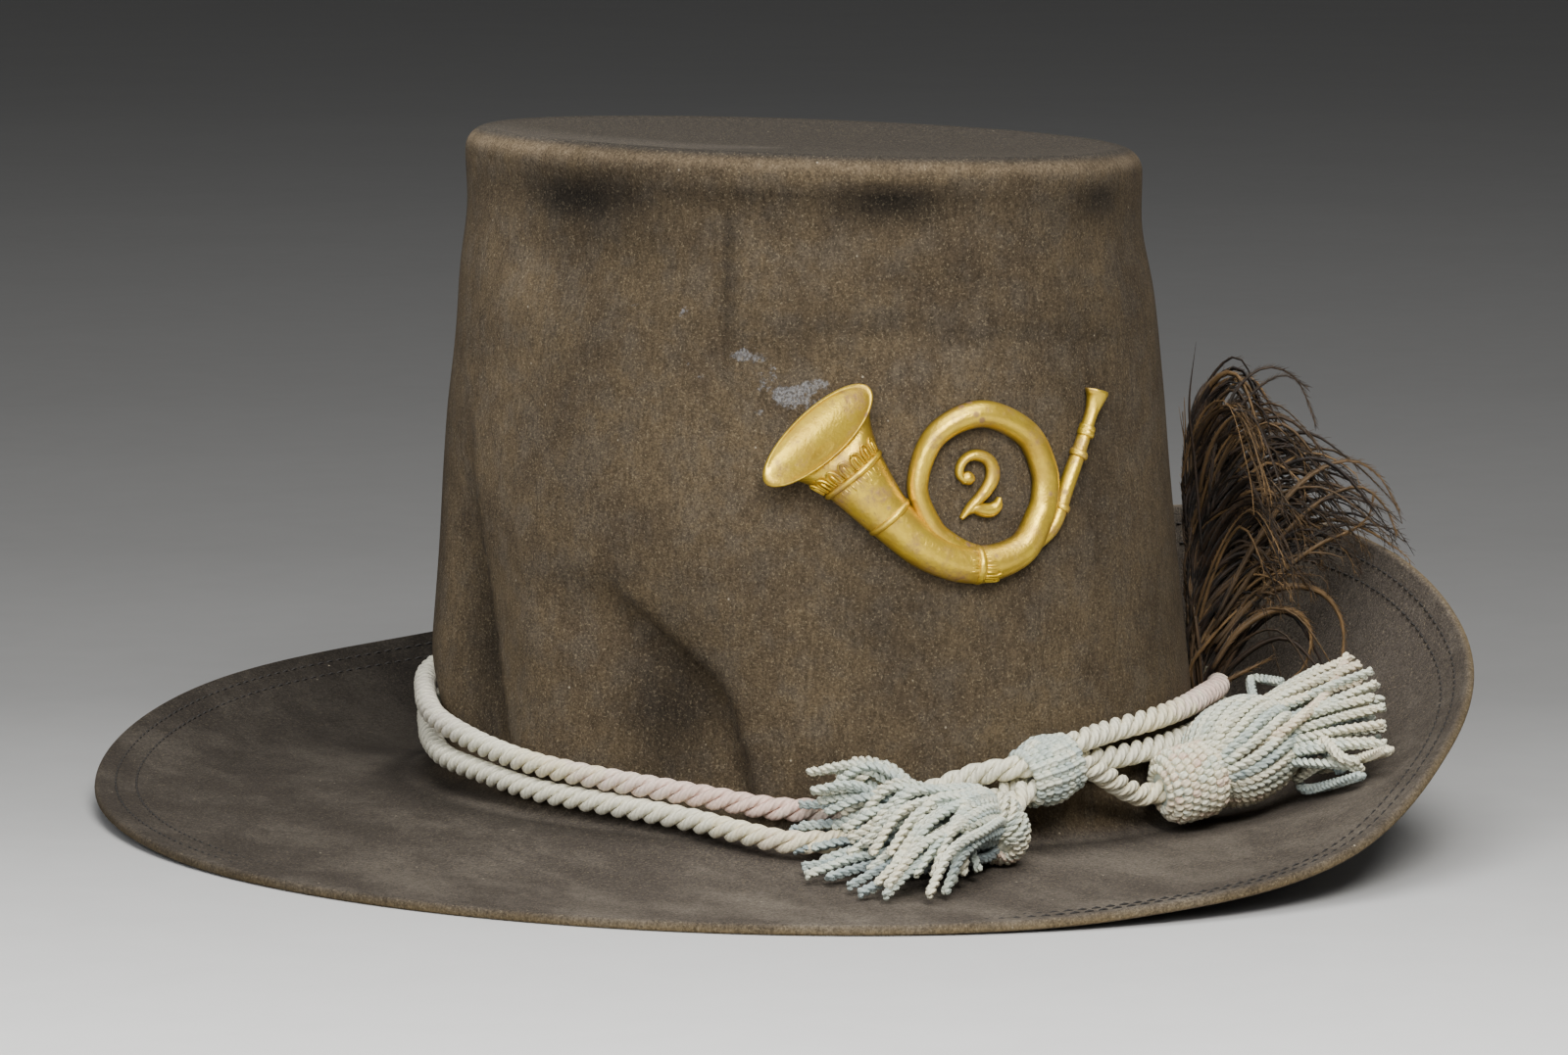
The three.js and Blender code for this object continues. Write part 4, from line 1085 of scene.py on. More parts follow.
    def shade(self, rows: tuple[Row, ...], direction: float) -> float:
        """How much painted shade the felt has in a direction, from a table; below 0 it is painted light."""
        places = [*(row[0] for row in rows), 180]
        amounts = [*(row[1] for row in rows), rows[0][1]]
        return float(np.interp(turn_between(direction, 0), places, amounts))

    def strongest(self, rows: tuple[Row, ...], direction: float, height: float) -> float:
        """How much of the scuffs, or of the spots of dirt and painted shade, of a table shows at a place of the
        crown.
        """
        return max(row[4] * math.exp(-spread_from(direction, height, row)) for row in rows)

    def marks(self, part: Part, value: float, direction: float, height: float) -> dict[str, float]:
        """What the finish needs to know about one point.

        Args:
            part: the part of the felt.
            value: where in the part.
            direction: where round the hat.
            height: how high the point is.

        Returns:
            An amount for each of the felt's names.
        """
        found = dict.fromkeys(self.names, 0.0)
        turned_out = part in (Part.BRIM, Part.BEND)
        # painted shade and light by direction, with more painted shade high on the crown
        found["shade"] = self.shade(self.brim_painted_shade if turned_out else self.crown_painted_shade, direction)
        if part in (Part.WALL, Part.ROLL):
            low, high, amount = self.high_painted_shade
            found["shade"] += amount * smooth(low, high, height)
        if part in (Part.WALL, Part.BEND):
            found["hollow"] = self.strongest(self.hollows, direction, height)
            found["scuff"] = self.strongest(self.scuffs, direction, height)
        if part is Part.TIP:
            found["top"] = 1.0
        elif part is Part.ROLL:
            found["top"] = smooth(36, 70, value)
            # wear with a painted highlight on the roll, and a little at the wall's top
            found["rubbed"] = 0.6 * math.exp(-(((value - 34) / 18) ** 2))
        elif part is Part.WALL:
            found["rubbed"] = 0.15 * smooth(0.94, 0.962, value)
        elif part is Part.BEND:
            found["brim"] = smooth(0.2, 0.9, value)
        else:
            found["brim"] = 1.0
            found["cut"] = smooth(0.986, 0.999, value)
            # dirt and painted shade where the brim meets the crown
            found["hollow"] = 0.55 * (1 - smooth(0.06, 0.2, value))
        return found

    def outside(self) -> BMesh:
        """The felt's outer face, facing outwards, with its marks."""
        rows = self.stations()
        mesh = SHEETS.get(len(rows) - 1, self.around).copy()
        points = []
        values: dict[str, list[float]] = {name: [] for name in self.names}
        for k in range(self.around + 1):
            direction = -(k % self.around) * 360 / self.around
            for part, value in rows:
                point = self.point(part, value, direction)
                under = point.z - FORM.felt
                point.z = FORM.felt + (under + math.hypot(under, self.rest_ease)) / 2
                points.append(FORM.place(point))
                for name, mark in self.marks(part, value, direction, point.z).items():
                    values[name].append(mark)
        mesh.vertices.foreach_set("co", np.array(points, np.float32).ravel())
        for name in self.names:
            carry(mesh, name, np.array(values[name]))
        body = bmesh.new()
        body.from_mesh(mesh)
        bpy.data.meshes.remove(mesh)
        close(body)
        top = max(body.faces, key=lambda face: face.calc_center_median().z)
        if top.normal.z < 0:
            bmesh.ops.reverse_faces(body, faces=body.faces)
        body.normal_update()
        return body

    def body(self) -> BMesh:
        """The felt as a closed sheet of its real thickness with a rounded edge."""
        body = self.outside()
        outer, cut = list(body.verts), body.verts.layers.float["cut"]
        bmesh.ops.solidify(body, geom=list(body.faces), thickness=FORM.felt * MM)
        for vert in outer:
            vert[cut] *= self.cut_outside
        for vert in body.verts:
            vert.co.z = max(0.0, vert.co.z)
        bmesh.ops.recalc_face_normals(body, faces=body.faces)
        rim = [edge for edge in body.edges if edge.is_manifold and edge.calc_face_angle() > self.rim_turn]
        bmesh.ops.bevel(
            body, geom=rim, affect="EDGES", offset=self.rim_round * MM, offset_type="OFFSET", segments=3,
            profile=0.5, material=-1,
        )
        return body

    def stitches(self) -> Bundle:
        """Two rows of stitches along the edge, on both faces of the brim, except where the brim rests."""
        rows = Bundle()
        turns = range(-180, 181, 2)
        for share in self.seam_shares:
            run = run_of(np.array([tuple(FORM.brim(turn, share)) for turn in turns]))
            for face in Face:
                drop, looks = face.value
                for k in range(int(run[-1] / self.pitch)):
                    start = k * self.pitch + (self.pitch / 2 if face is Face.UNDER else 0)
                    path = []
                    for t, rise in zip((0.0, 0.5, 1.0), self.stitch_rise):
                        at = (start + t * self.stitch) % run[-1]
                        direction = float(np.interp(at, run, turns))
                        lift = rise * looks - drop + self.stitch_lift * looks
                        path.append(FORM.place(FORM.above(direction, share * FORM.brim_width, lift)))
                    path = np.array(path)
                    if path[:, 2].min() >= self.thread * MM:
                        rows.wire(path, self.thread, 4)
        return rows

    def build(self) -> None:
        """Builds and dresses the felt and its stitching."""
        mounted(shown("felt_hat", self.body(), WornFelt().material()), "felt", "felt_body")
        mounted(shown("brim_stitching", self.stitches().body(), Thread().material()), "felt")


# ---- cord, slide and tassels ----
@dataclass(frozen=True)
class Slide:
    """Where the worked slide lies on the crown, and the angles of the cord's three passes through it."""

    direction: float = -91.2
    off: float = 8.2
    height: float = 23.4
    radius: float = 8.0
    length: float = 13.5
    lip: float = 0.8
    turn: float = 2.0
    tilt: float = 14.5
    circle: float = 3.55
    twist: float = -120.0
    passes: tuple[float, float, float] = (-30.0, 210.0, 90.0)

    @property
    def middle(self) -> Vector:
        """The middle of the slide."""
        return FORM.beside(self.direction, self.height, self.off)

    @property
    def axes(self) -> tuple[Vector, Vector, Vector]:
        """Its axis, the direction to its front and the one to its top."""
        axis = tilted(self.turn, self.tilt)
        front = Vector((0, -1, 0))
        front = (front - axis * front.dot(axis)).normalized()
        return axis, front, front.cross(axis)

    def passing(self, angle: float) -> list[Vector]:
        """One pass of the cord, coming in at an angle from the front of the bore towards its top."""
        axis, front, up = self.axes
        out = []
        for t in (-1, -0.5, 0, 0.5, 1):
            turn = math.radians(angle + self.twist * (t + 1) / 2)
            place = self.middle + axis * (t * (self.length / 2 + 2))
            out.append(place + front * (self.circle * math.cos(turn)) + up * (self.circle * math.sin(turn)))
        return out


def tilted(turn: float, tilt: float) -> Vector:
    """A direction that is tilted up from +X and then turned about the vertical."""
    turn, tilt = math.radians(turn), math.radians(tilt)
    return Vector((math.cos(tilt) * math.cos(turn), math.cos(tilt) * math.sin(turn), math.sin(tilt)))


@dataclass(frozen=True)
class Plying:
    """How yarns are laid up into a strand: their number, size and turn."""

    plies: int
    radius: float
    off: float
    pitch: float
    step: float
    sides: int

    def lay(self, bundle: Bundle, path: np.ndarray, phase: float = 0.0, scale: float = 1.0) -> None:
        """Winds the yarns along a path.

        Args:
            bundle: what the yarns are added to.
            path: the middle of the strand, in millimetres, with a further column for each bundle value.
            phase: where round the strand the first yarn starts, in degrees.
            scale: how thick the strand is against its usual size.
        """
        path = evenly(path, self.step)
        middle, values = path[:, :3], dict(zip(bundle.names, path[:, 3:].T))
        side, high = carried(middle, (0.1, 0.2, 1.0))
        turn = np.radians(phase) + 2 * math.pi * run_of(middle) / self.pitch
        for k in range(self.plies):
            angle = (turn + 2 * math.pi * k / self.plies)[:, None]
            outward = np.cos(angle) * side + np.sin(angle) * high
            yarn = FORM.placed(middle + outward * (self.off * scale))
            bundle.round(yarn, self.radius * scale, self.radius * scale, outward, self.sides, **values)


CORD_PLYING = Plying(plies=3, radius=1.28, off=1.52, pitch=-14.8, step=0.75, sides=8)
STRAND_PLYING = Plying(plies=2, radius=0.74, off=0.56, pitch=3.8, step=0.5, sides=6)


@dataclass
class HatCord:
    """The hat cord: three strands laid up, twice round the crown and three times through the slide.

    A row of a round gives a direction, a height, how far the cord lies off the crown, and its tone.
    """

    slide: Slide
    left_end: Vector
    right_end: Vector
    right_axis: Vector
    right_run: float = 6.0
    slide_tone: float = 0.5
    end_tones: tuple[float, float, float] = (0.55, 0.6, 0.65)
    low_round: tuple[Row, ...] = (
        (-78.5, 23.6, 3.4, 0.45), (-66, 24, 3, 0.4), (-54, 24.2, 3, 0.5), (-43, 24.2, 3.6, 0.5),
        (-34, 24.2, 6.4, 0.4), (-27, 24.2, 7.8, 0.4), (-20, 24.2, 6.4, 0.3), (-11, 24, 3.6, 0.3),
        (2, 23.4, 3, 0.3), (24, 22.4, 3, 0.4), (48, 21.8, 3, 0.5), (72, 21.6, 3, 0.45),
        (96, 21.4, 3, 0.3), (120, 20.8, 3, 0.35), (134, 19.2, 2.4, 0.3), (142, 18.4, 0.4, 0.3),
        (150, 17.8, -0.8, 0.3), (159, 17.2, -0.2, 0.3), (171, 16.1, 1.2, 0.35), (183, 15.1, 0.6, 0.4),
        (194, 13.9, 1.2, 0.42), (204, 13.2, 0.8, 0.45), (213, 12.6, 2, 0.45), (221, 11.8, 5, 0.5),
        (228, 10.8, 10.4, 0.6), (235, 9.8, 16, 0.7), (242, 10.2, 14.4, 0.65), (249, 12, 11, 0.5),
        (255, 14.6, 9.2, 0.45), (259, 16, 9.6, 0.45),
    )
    high_round: tuple[Row, ...] = (
        (-77.5, 29.8, 3.2, 0.5), (-66, 30.8, 3, 0.62), (-55, 31.3, 3, 0.8), (-43, 31.2, 3.6, 0.95),
        (-34, 30.8, 6.4, 0.9), (-27, 30.2, 7.8, 0.7), (-20, 30.2, 6.4, 0.5), (-11, 31, 3.6, 0.4),
        (2, 32.4, 3, 0.4), (26, 33, 3, 0.5), (50, 33.4, 3, 0.5), (74, 33.4, 3, 0.4),
        (98, 32.4, 3, 0.35), (122, 29.8, 3, 0.3), (135, 28.3, 2.7, 0.25), (143, 27.4, 1.5, 0.2),
        (150, 26.6, 0.7, 0.15), (158, 25.6, 1.1, 0.15), (166, 24.2, 1.5, 0.15), (174, 22.8, 1, 0.2),
        (183, 21.2, 0.6, 0.4), (194, 19.8, 1.2, 0.6), (204, 18.8, 0.8, 0.75), (213, 17.9, 0.8, 0.85),
        (222, 16.8, 1.8, 0.95), (233, 15, 3, 1.0), (243, 15.8, 3.1, 0.7), (252, 18.6, 3, 0.45),
        (259, 22.6, 4.2, 0.45),
    )

    def beside(self, rows: tuple[Row, ...]) -> list[Row]:
        """A round of the cord as points with their tones."""
        return [(*FORM.beside(*row[:3]), row[3]) for row in rows]

    def passing(self, angle: float) -> list[Row]:
        """One pass through the slide as points with their tone."""
        return [(*point, self.slide_tone) for point in self.slide.passing(angle)]

    def path(self) -> np.ndarray:
        """The middle of the cord with its tone, from the left tassel to the right one."""
        first, second, third = (self.passing(angle) for angle in self.slide.passes)
        before = self.right_end - self.right_axis * self.right_run
        left_tone, before_tone, right_tone = self.end_tones
        points = [(*self.left_end, left_tone), *first, *self.beside(self.low_round), *second]
        points += [*self.beside(self.high_round), *third]
        points += [(*before, before_tone), (*self.right_end, right_tone)]
        return spline(points, 12, Curve.CENTRIPETAL)

    def build(self) -> None:
        """Lays up the cord."""
        rope = Bundle(("tone",))
        CORD_PLYING.lay(rope, self.path())
        mounted(shown("twisted_cord", rope.body(), cord_finish()), "cord", "hat_cord")


def cord_finish() -> Material:
    """The cord's faded wool: grey, cream, yellowed and pinkish by turns."""
    return Worsted("faded_cord", (
        (0.0, tint("d6cec0")), (0.3, tint("eae6d0")), (0.48, tint("f4f0d6")), (0.66, tint("f3e8c4")),
        (0.82, tint("f0dccc")), (1.0, tint("ecccbd")),
    ), plies=4.0, lay=0.35).material()


def strand_finish() -> Material:
    """The tassels' wool: slate and blue-grey at low tones, cream at high ones; the tones that the strands get
    are partly painted shade and light.
    """
    return Worsted("faded_strands", (
        (0.0, tint("737d85")), (0.3, tint("a4b5b5")), (0.48, tint("cedacd")), (0.66, tint("eeedd4")),
        (0.84, tint("f5e9c9")), (1.0, tint("e9c9b5")),
    ), plies=3.0, lay=0.8).material()


@dataclass
class Knot:
    """A knob worked over in rings of slanting stitches about an axis."""

    name: str
    node: str
    middle: Vector
    axis: Vector
    profile: tuple[tuple[float, float], ...]
    rings: int
    around: int
    tone: tuple[float, float]
    slot: str
    bead: float = 0.8
    reach: tuple[float, float] = (1.05, 0.75)
    bore: float = 0.0
    seed: int = 3

    def axes(self) -> tuple[Vector, Vector, Vector]:
        """The axis and two directions across it."""
        side = UP.cross(self.axis).normalized()
        return self.axis, side, self.axis.cross(side)

    def core(self) -> BMesh:
        """The plain body under the stitches."""
        under = [(max(0.2, out - self.bead * 0.75), along) for out, along in self.profile]
        low, high = self.profile[0][1], self.profile[-1][1]
        if self.bore:
            outline = [*under, (self.bore, high), (self.bore, low), under[0]]
        else:
            outline = [(0, low), *under, (0, high)]
        body = turned(outline, 40)
        axis, side, top = self.axes()
        layer = body.verts.layers.float.new("tone")
        body.loops.layers.uv.new("UVMap")
        for vert in body.verts:
            x, y, z = vert.co
            vert.co = FORM.place(self.middle + axis * z + side * x + top * y)
            vert[layer] = self.tone[0] - 0.15
        bmesh.ops.recalc_face_normals(body, faces=body.faces)
        return body

    def stitches(self) -> Bundle:
        """The rings of stitches, each a fat slanting bead that leans over the ring before it."""
        pick = random.Random(self.seed)
        worked = Bundle(("tone",))
        axis, side, top = self.axes()
        outs, alongs = np.array(self.profile).T
        run = run_of(np.array(self.profile))
        width = run[-1] / self.rings
        for ring in range(self.rings):
            middle_out = float(np.interp((ring + 0.5) * width, run, outs))
            count = max(9, round(self.around * middle_out / outs.max()))
            for k in range(count):
                tone = pick.uniform(*self.tone)
                path, across = [], []
                for t in np.linspace(-0.5, 0.5, 5):
                    at = min(run[-1], max(0.0, (ring + 0.5 + t * self.reach[0]) * width))
                    out, along = float(np.interp(at, run, outs)), float(np.interp(at, run, alongs))
                    turn = 2 * math.pi * (k + (0.5 if ring % 2 else 0) + t * self.reach[1]) / count
                    outward = side * math.cos(turn) + top * math.sin(turn)
                    lift = out - self.bead * 0.82 + 0.22 * math.cos(math.pi * t) + pick.uniform(-0.08, 0.08)
                    path.append(FORM.place(self.middle + axis * along + outward * lift))
                    across.append(tuple(outward))
                size = np.array((0.55, 0.92, 1.0, 0.92, 0.55)) * self.bead * pick.uniform(0.93, 1.05)
                worked.round(np.array(path), size, size, np.array(across), 7, tone=tone)
        return worked

    def build(self, finish: Material) -> None:
        """Builds the knob and its stitches."""
        mounted(shown(self.name, self.core(), finish), self.slot, self.node)
        mounted(shown(self.name + "_stitches", self.stitches().body(), finish), self.slot)


def toned(path: np.ndarray, tone: Size) -> np.ndarray:
    """A path with its tone as a further column."""
    return np.column_stack([path, np.broadcast_to(tone, len(path))])


@dataclass
class Tassel:
    """A skirt of twisted strands that leaves a head all round, swells and fans out to its tips.

    neck and swell each give a place along the axis from the root, the half width across, and how far the
    lowest and the highest strands lie from the axis. A tip gives a direction, a reach and a lift over the
    brim, its layer from 0 at the bottom to 1 at the top, and its tone. A single strand gives its places over
    the brim, its tone and its scale, and the shell places along the axis and how far out it lies there.
    """

    name: str
    node: str
    root: Vector
    axis: Vector
    outwards: Vector
    neck: Row
    swell: Row
    tips: tuple[Row, ...]
    arch: float
    seed: int
    single: tuple[tuple[tuple[Row, ...], float, float], ...] = ()
    shell: tuple[Row, ...] = ()
    shell_count: int = 28
    shell_turn: float = 24.0

    def across(self) -> tuple[Vector, Vector]:
        """The level direction across the skirt and the one to its top."""
        side = (self.outwards - self.axis * self.outwards.dot(self.axis)).normalized()
        up = self.axis.cross(side)
        if up.z < 0:
            up.negate()
        return side, up

    def station(self, row: Row, share: float, layer: float) -> Vector:
        """A place of a strand on one of the skirt's two sections."""
        along, wide, under, over = row
        side, up = self.across()
        rise = math.sqrt(1 - 0.8 * share * share)
        return self.root + self.axis * along + side * (share * wide) + up * (mix(under, over, layer) * rise)

    def fan(self, bundle: Bundle, pick: random.Random) -> None:
        """Lays each strand from the neck over the swell to its tip."""
        side, up = self.across()
        ends = [FORM.above(*row[:3]) for row in self.tips]
        spots = [(end - self.root).dot(side) for end in ends]
        low, high = min(spots), max(spots)
        for (*_, layer, tone), end, spot in zip(self.tips, ends, spots):
            share = mix(-0.95, 0.95, (spot - low) / (high - low)) + pick.uniform(-0.08, 0.08)
            share = max(-1.0, min(1.0, share))
            neck = self.station(self.neck, share, layer)
            inner = self.root.lerp(neck, 0.45) - self.axis * 1.5
            swell = self.station(self.swell, share, layer) + up * pick.uniform(-0.5, 0.5)
            bend = swell.lerp(end, 0.58) + up * (self.arch * (0.3 + layer) * pick.uniform(0.6, 1.3))
            path = spline([inner, neck, swell, bend, end + side * pick.uniform(-0.5, 0.5)], 10)
            t = np.linspace(0, 1, len(path))
            path = toned(path, tone + pick.uniform(-0.08, 0.08) - 0.12 * np.sin(t * math.pi) + 0.1 * t**3)
            STRAND_PLYING.lay(bundle, path, pick.uniform(0, 360), pick.uniform(0.93, 1.05))

    def cover(self, bundle: Bundle, pick: random.Random) -> None:
        """Lays the shell's strands side by side all round, paler and closer in underneath."""
        side, up = self.across()
        for k in range(self.shell_count):
            spin = 360 * (k + pick.uniform(-0.12, 0.12)) / self.shell_count
            tone = pick.uniform(0.4, 0.74)
            path = []
            for along, out in self.shell:
                angle = math.radians(spin + self.shell_turn * along / self.shell[-1][0])
                way = side * math.cos(angle) + up * math.sin(angle)
                low = max(0.0, -way.z)
                place = self.root + self.axis * along + way * (out - 1.2 * low)
                path.append((*place, tone + 0.3 * low**2))
            STRAND_PLYING.lay(bundle, spline(path, 8), pick.uniform(0, 360), pick.uniform(1.02, 1.12))

    def strands(self) -> Bundle:
        """All the skirt's strands, with the few that stand out by themselves."""
        pick = random.Random(self.seed)
        bundle = Bundle(("tone",))
        self.fan(bundle, pick)
        if self.shell:
            self.cover(bundle, pick)
        for points, tone, scale in self.single:
            path = spline([FORM.above(*row) for row in points], 10)
            STRAND_PLYING.lay(bundle, toned(path, tone), pick.uniform(0, 360), scale)
        return bundle

    def build(self, finish: Material) -> None:
        """Builds the skirt."""
        mounted(shown(self.name, self.strands().body(), finish), "blue_worsted", self.node)


@dataclass
class WornHead:
    """The left tassel's head: its worked cover is worn through to wraps of yarn."""

    middle: Vector
    away: Vector
    half: Row = (5.9, 7.2, 8.4)
    wraps: int = 28
    high_tones: tuple[float, ...] = (0.55, 0.62, 0.7)
    low_tones: tuple[float, ...] = (0.7, 0.78, 0.95, 0.62)
    seed: int = 11

    def spot(self, direction: Vector, out: float) -> Vector:
        """A place of the lump in a direction from its middle, out millimetres beyond its surface."""
        side = UP.cross(self.away).normalized()
        high = self.away.cross(side)
        along, across, tall = (direction[i] * (self.half[i] + out) for i in range(3))
        return self.middle + self.away * along + side * across + high * tall

    def lump(self) -> BMesh:
        """The uneven body under the wraps."""
        body = bmesh.new()
        bmesh.ops.create_icosphere(body, subdivisions=4, radius=1.0)
        layer = body.verts.layers.float.new("tone")
        body.loops.layers.uv.new("UVMap")
        for vert in body.verts:
            way = vert.co.copy()
            vert[layer] = 0.6 + 0.2 * noise.noise(way * 3)
            vert.co = FORM.place(self.spot(way, 0.7 * noise.noise(way * 2.3) - 1.1))
        return body

    def wrapped(self) -> Bundle:
        """The yarns that wrap the head from where the cord enters it to where its skirt leaves."""
        pick = random.Random(self.seed)
        bundle = Bundle(("tone",))
        for k in range(self.wraps):
            turn = 2 * math.pi * (k + pick.uniform(-0.25, 0.25)) / self.wraps
            start, end = pick.uniform(14, 30), pick.uniform(120, 165)
            path = []
            for t in np.linspace(0, 1, 9):
                polar, spin = math.radians(mix(start, end, t)), turn + 0.5 * t
                flat = math.sin(polar)
                way = Vector((math.cos(polar), flat * math.cos(spin), flat * math.sin(spin)))
                path.append(self.spot(way, 0.3 * math.sin(t * math.pi) - 0.55))
            tone = pick.choice(self.high_tones if math.sin(turn + 0.25) > 0 else self.low_tones)
            STRAND_PLYING.lay(bundle, toned(spline(path, 4), tone), pick.uniform(0, 360), 0.85)
        return bundle

    def build(self, finish: Material) -> None:
        """Builds the lump and its wraps."""
        mounted(shown("left_head", self.lump(), finish), "cord", "left_tassel_head")
        mounted(shown("left_head_wraps", self.wrapped().body(), finish), "cord")


# ---- plume ----
@dataclass
class Plume:
    """An ostrich plume: its quill is tucked behind the cord, and its barbs arch out over the turned-up brim.

    The stem gives places beside the crown. A lock gives the height where it leaves the stem, how far out,
    forward and up its end lies, how high it arches, and how many barbs it has. A ribbon is one wide barb: its
    half width, how pale it is, and its places.
    """

    direction: float = -27.0
    stem: tuple[Row, ...] = ((-27, 14, 2.8), (-27, 34, 2.8), (-26, 52, 4.5), (-24, 76, 6.5), (-22, 100, 8))
    stem_barbs: int = 14
    hair: tuple[float, float] = (0.1, 0.035)
    hair_gaps: tuple[float, ...] = (1.4, 1.7, 2.1, 2.8)
    ribbon_gap: float = 0.62
    bare_width: float = 0.4
    locks: tuple[Row, ...] = (
        (88, 18, 1, 94, 10, 16), (79, 28, 3, 88, 9, 22), (70, 37, 5, 81, 10, 24), (60, 44, 7, 73, 12, 26),
        (51, 46, 2, 66, 12, 22), (42, 33, 8, 62, 8, 18), (37, 20, 7, 56, 4, 16), (34.5, 31, 11, 34, 16, 5),
        (82, 15, 24, 83, 12, 12), (62, 19, 23, 64, 12, 12), (82, 14, -24, 85, 12, 16),
        (62, 20, -25, 67, 12, 16), (66, 26, 10, 72, 8, 16), (52, 24, 8, 58, 7, 16),
        (74, 18, -8, 78, 8, 14), (58, 30, -12, 70, 9, 14),
    )
    ribbons: tuple[tuple[float, float, tuple[Row, ...]], ...] = (
        (0.375, 0.05, ((1, 2, 62), (-1, 2, 84), (-2.6, 3, 98), (-1.2, 4, 113.4))),
        (0.4125, 0.05, (
            (2, 3, 70), (4, 4, 90), (9, 4, 102), (16, 4, 107), (23, 4, 104.5), (27, 4, 97), (28.5, 4, 92),
        )),
        (0.45, 0.05, ((3, 3, 72), (7, 4, 92), (13, 4, 101), (20, 4, 105), (26.5, 4, 102))),
        (0.4125, 0.05, ((2, 1, 80), (5, 1, 94), (9.5, 1, 99.5), (15, 1, 100), (19.5, 1, 96.5))),
        (0.975, 0.85, (
            (3, 6, 34), (9, 7, 43), (17, 8, 48.2), (24, 8, 47.4), (27, 8, 42), (25.5, 8, 35), (21, 8, 30.5),
        )),
        (0.9, 0.8, (
            (4, 5, 40), (13, 6, 50.5), (22, 7, 54), (30, 7, 52), (34.5, 7, 45.5), (35, 7, 38), (33.5, 7, 33),
        )),
        (0.675, 0.6, ((3, 7, 28), (7, 8, 31.5), (12, 8, 34), (17, 8, 36.5))),
        (0.9, 0.7, (
            (4, 5, 38), (12, 6, 49), (20, 7, 57.5), (29, 7, 64), (37, 7, 67.5), (41, 7, 71), (42, 7, 76),
        )),
        (0.825, 0.55, ((4, 5, 44), (15, 6, 60), (27, 7, 73), (38, 7, 78), (45, 7, 73), (48, 7, 66))),
        (0.75, 0.5, ((4, 5, 46), (13, 6, 64), (24, 7, 79), (35, 7, 84.5), (43, 7, 81), (48.5, 7, 72))),
    )
    seed: int = 27

    @cached_property
    def stem_path(self) -> np.ndarray:
        """The middle of the quill."""
        return spline([FORM.beside(*row) for row in self.stem], 12)

    def place(self, row: Sequence[float]) -> Vector:
        """A place in the plume's own frame: out from the crown's foot, forward, and up from the table."""
        out = FORM.outwards(self.direction)
        foot = FORM.wall(self.direction, 0)
        foot.z = row[2]
        return foot + out * row[0] + out.cross(UP) * row[1]

    def barb(
        self, bundle: Bundle, fringe: Bundle, path: np.ndarray, width: float, pale: float,
        pick: random.Random, hairs: float,
    ) -> None:
        """Adds one flat barb, and the fine hairs along both its edges.

        Args:
            bundle: what the barb is added to.
            fringe: what its hairs are added to.
            path: its middle, in millimetres.
            width: its half width.
            pale: how pale it is.
            pick: where chance comes from.
            hairs: how far apart the hairs are, or 0 for none.
        """
        path = evenly(path, max(2.0, run_of(path)[-1] / 22))
        share = np.linspace(0, 1, len(path))
        side, high = carried(path, tuple(FORM.outwards(self.direction).cross(UP)))
        turn = pick.uniform(-0.45, 0.45) + share * pick.uniform(-0.7, 0.7)
        flat = np.cos(turn)[:, None] * high + np.sin(turn)[:, None] * side
        swell = 0.25 + 0.75 * np.sin(np.pi * np.clip(share * 0.8 + 0.18, 0, 1))
        wide = width * swell * (1 - share**5 * 0.75)
        thick = np.maximum(0.1, wide * 0.16)
        bundle.round(FORM.placed(path), wide, thick, flat, 4, pale=pale * (0.3 + 0.9 * share))
        if not hairs:
            return
        run = run_of(path)
        along = tangents(path)
        for at in np.arange(run[-1] * 0.12, run[-1] * 0.99, hairs):
            i = min(len(path) - 2, int(np.searchsorted(run, at)) - 1)
            t = (at - run[i]) / max(1e-6, run[i + 1] - run[i])
            base = path[i] + (path[i + 1] - path[i]) * t
            for way in (-1, 1):
                reach = width * pick.uniform(0.8, 1.5) + 0.9
                out = flat[i] * way + along[i] * pick.uniform(1.6, 3.2)
                out = out + np.array([pick.gauss(0, 0.15) for _ in "xyz"])
                out = out / np.linalg.norm(out)
                hair = FORM.placed([base, base + (out + along[i] * 0.3) * reach])
                tone = min(1.0, pale + pick.uniform(0.0, 0.35))
                fringe.round(hair, self.hair, self.hair, np.tile(high[i], (2, 1)), 3, pale=tone)

    def on_stem(self, height: float) -> Vector:
        """The place on the stem at a height."""
        stem = self.stem_path
        return Vector([float(np.interp(height, stem[:, 2], stem[:, column])) for column in range(3)])

    def lock_path(self, row: Row, pick: random.Random) -> np.ndarray:
        """The middle of one barb of a lock, which leaves the stem, arches and droops at its end."""
        start, out, forward, height, arch, _ = row
        root = start + pick.uniform(-20, 3)
        leave = self.on_stem(max(16, root - pick.uniform(6, 18)))
        base = self.on_stem(max(20, root)) + Vector((pick.gauss(0, 0.8), pick.gauss(0, 0.8), 0))
        spread = pick.gauss(0, 0.6)
        reach = pick.uniform(0.62, 1.06)
        tip = self.place((
            out * reach + pick.uniform(-2, 2), forward * reach + pick.gauss(0, 2.6),
            mix(start, height, reach) + pick.gauss(0, 2.4),
        ))
        rise = UP * (arch * pick.uniform(0.8, 1.5))
        first = base.lerp(tip, 0.3) + rise * 0.85 + Vector((spread, spread * 0.4, 0))
        second = base.lerp(tip, 0.68) + rise
        drop = (tip - second) * pick.uniform(0.1, 0.25) - UP * pick.uniform(1.5, 6)
        return spline([leave, base, first, second, tip, tip + drop], 7)

    def stem_barb(self, pick: random.Random) -> np.ndarray:
        """The middle of one of the long barbs that wander along the stem and hide it."""
        wander = [Vector((pick.gauss(0, 0.7), pick.gauss(0, 1.1), 0)) for _ in self.stem]
        low, high = pick.uniform(14, 20), pick.uniform(70, 103)
        places = [self.on_stem(mix(low, high, share)) for share in shares(len(wander))]
        return spline([place + aside for place, aside in zip(places, wander)], 8)

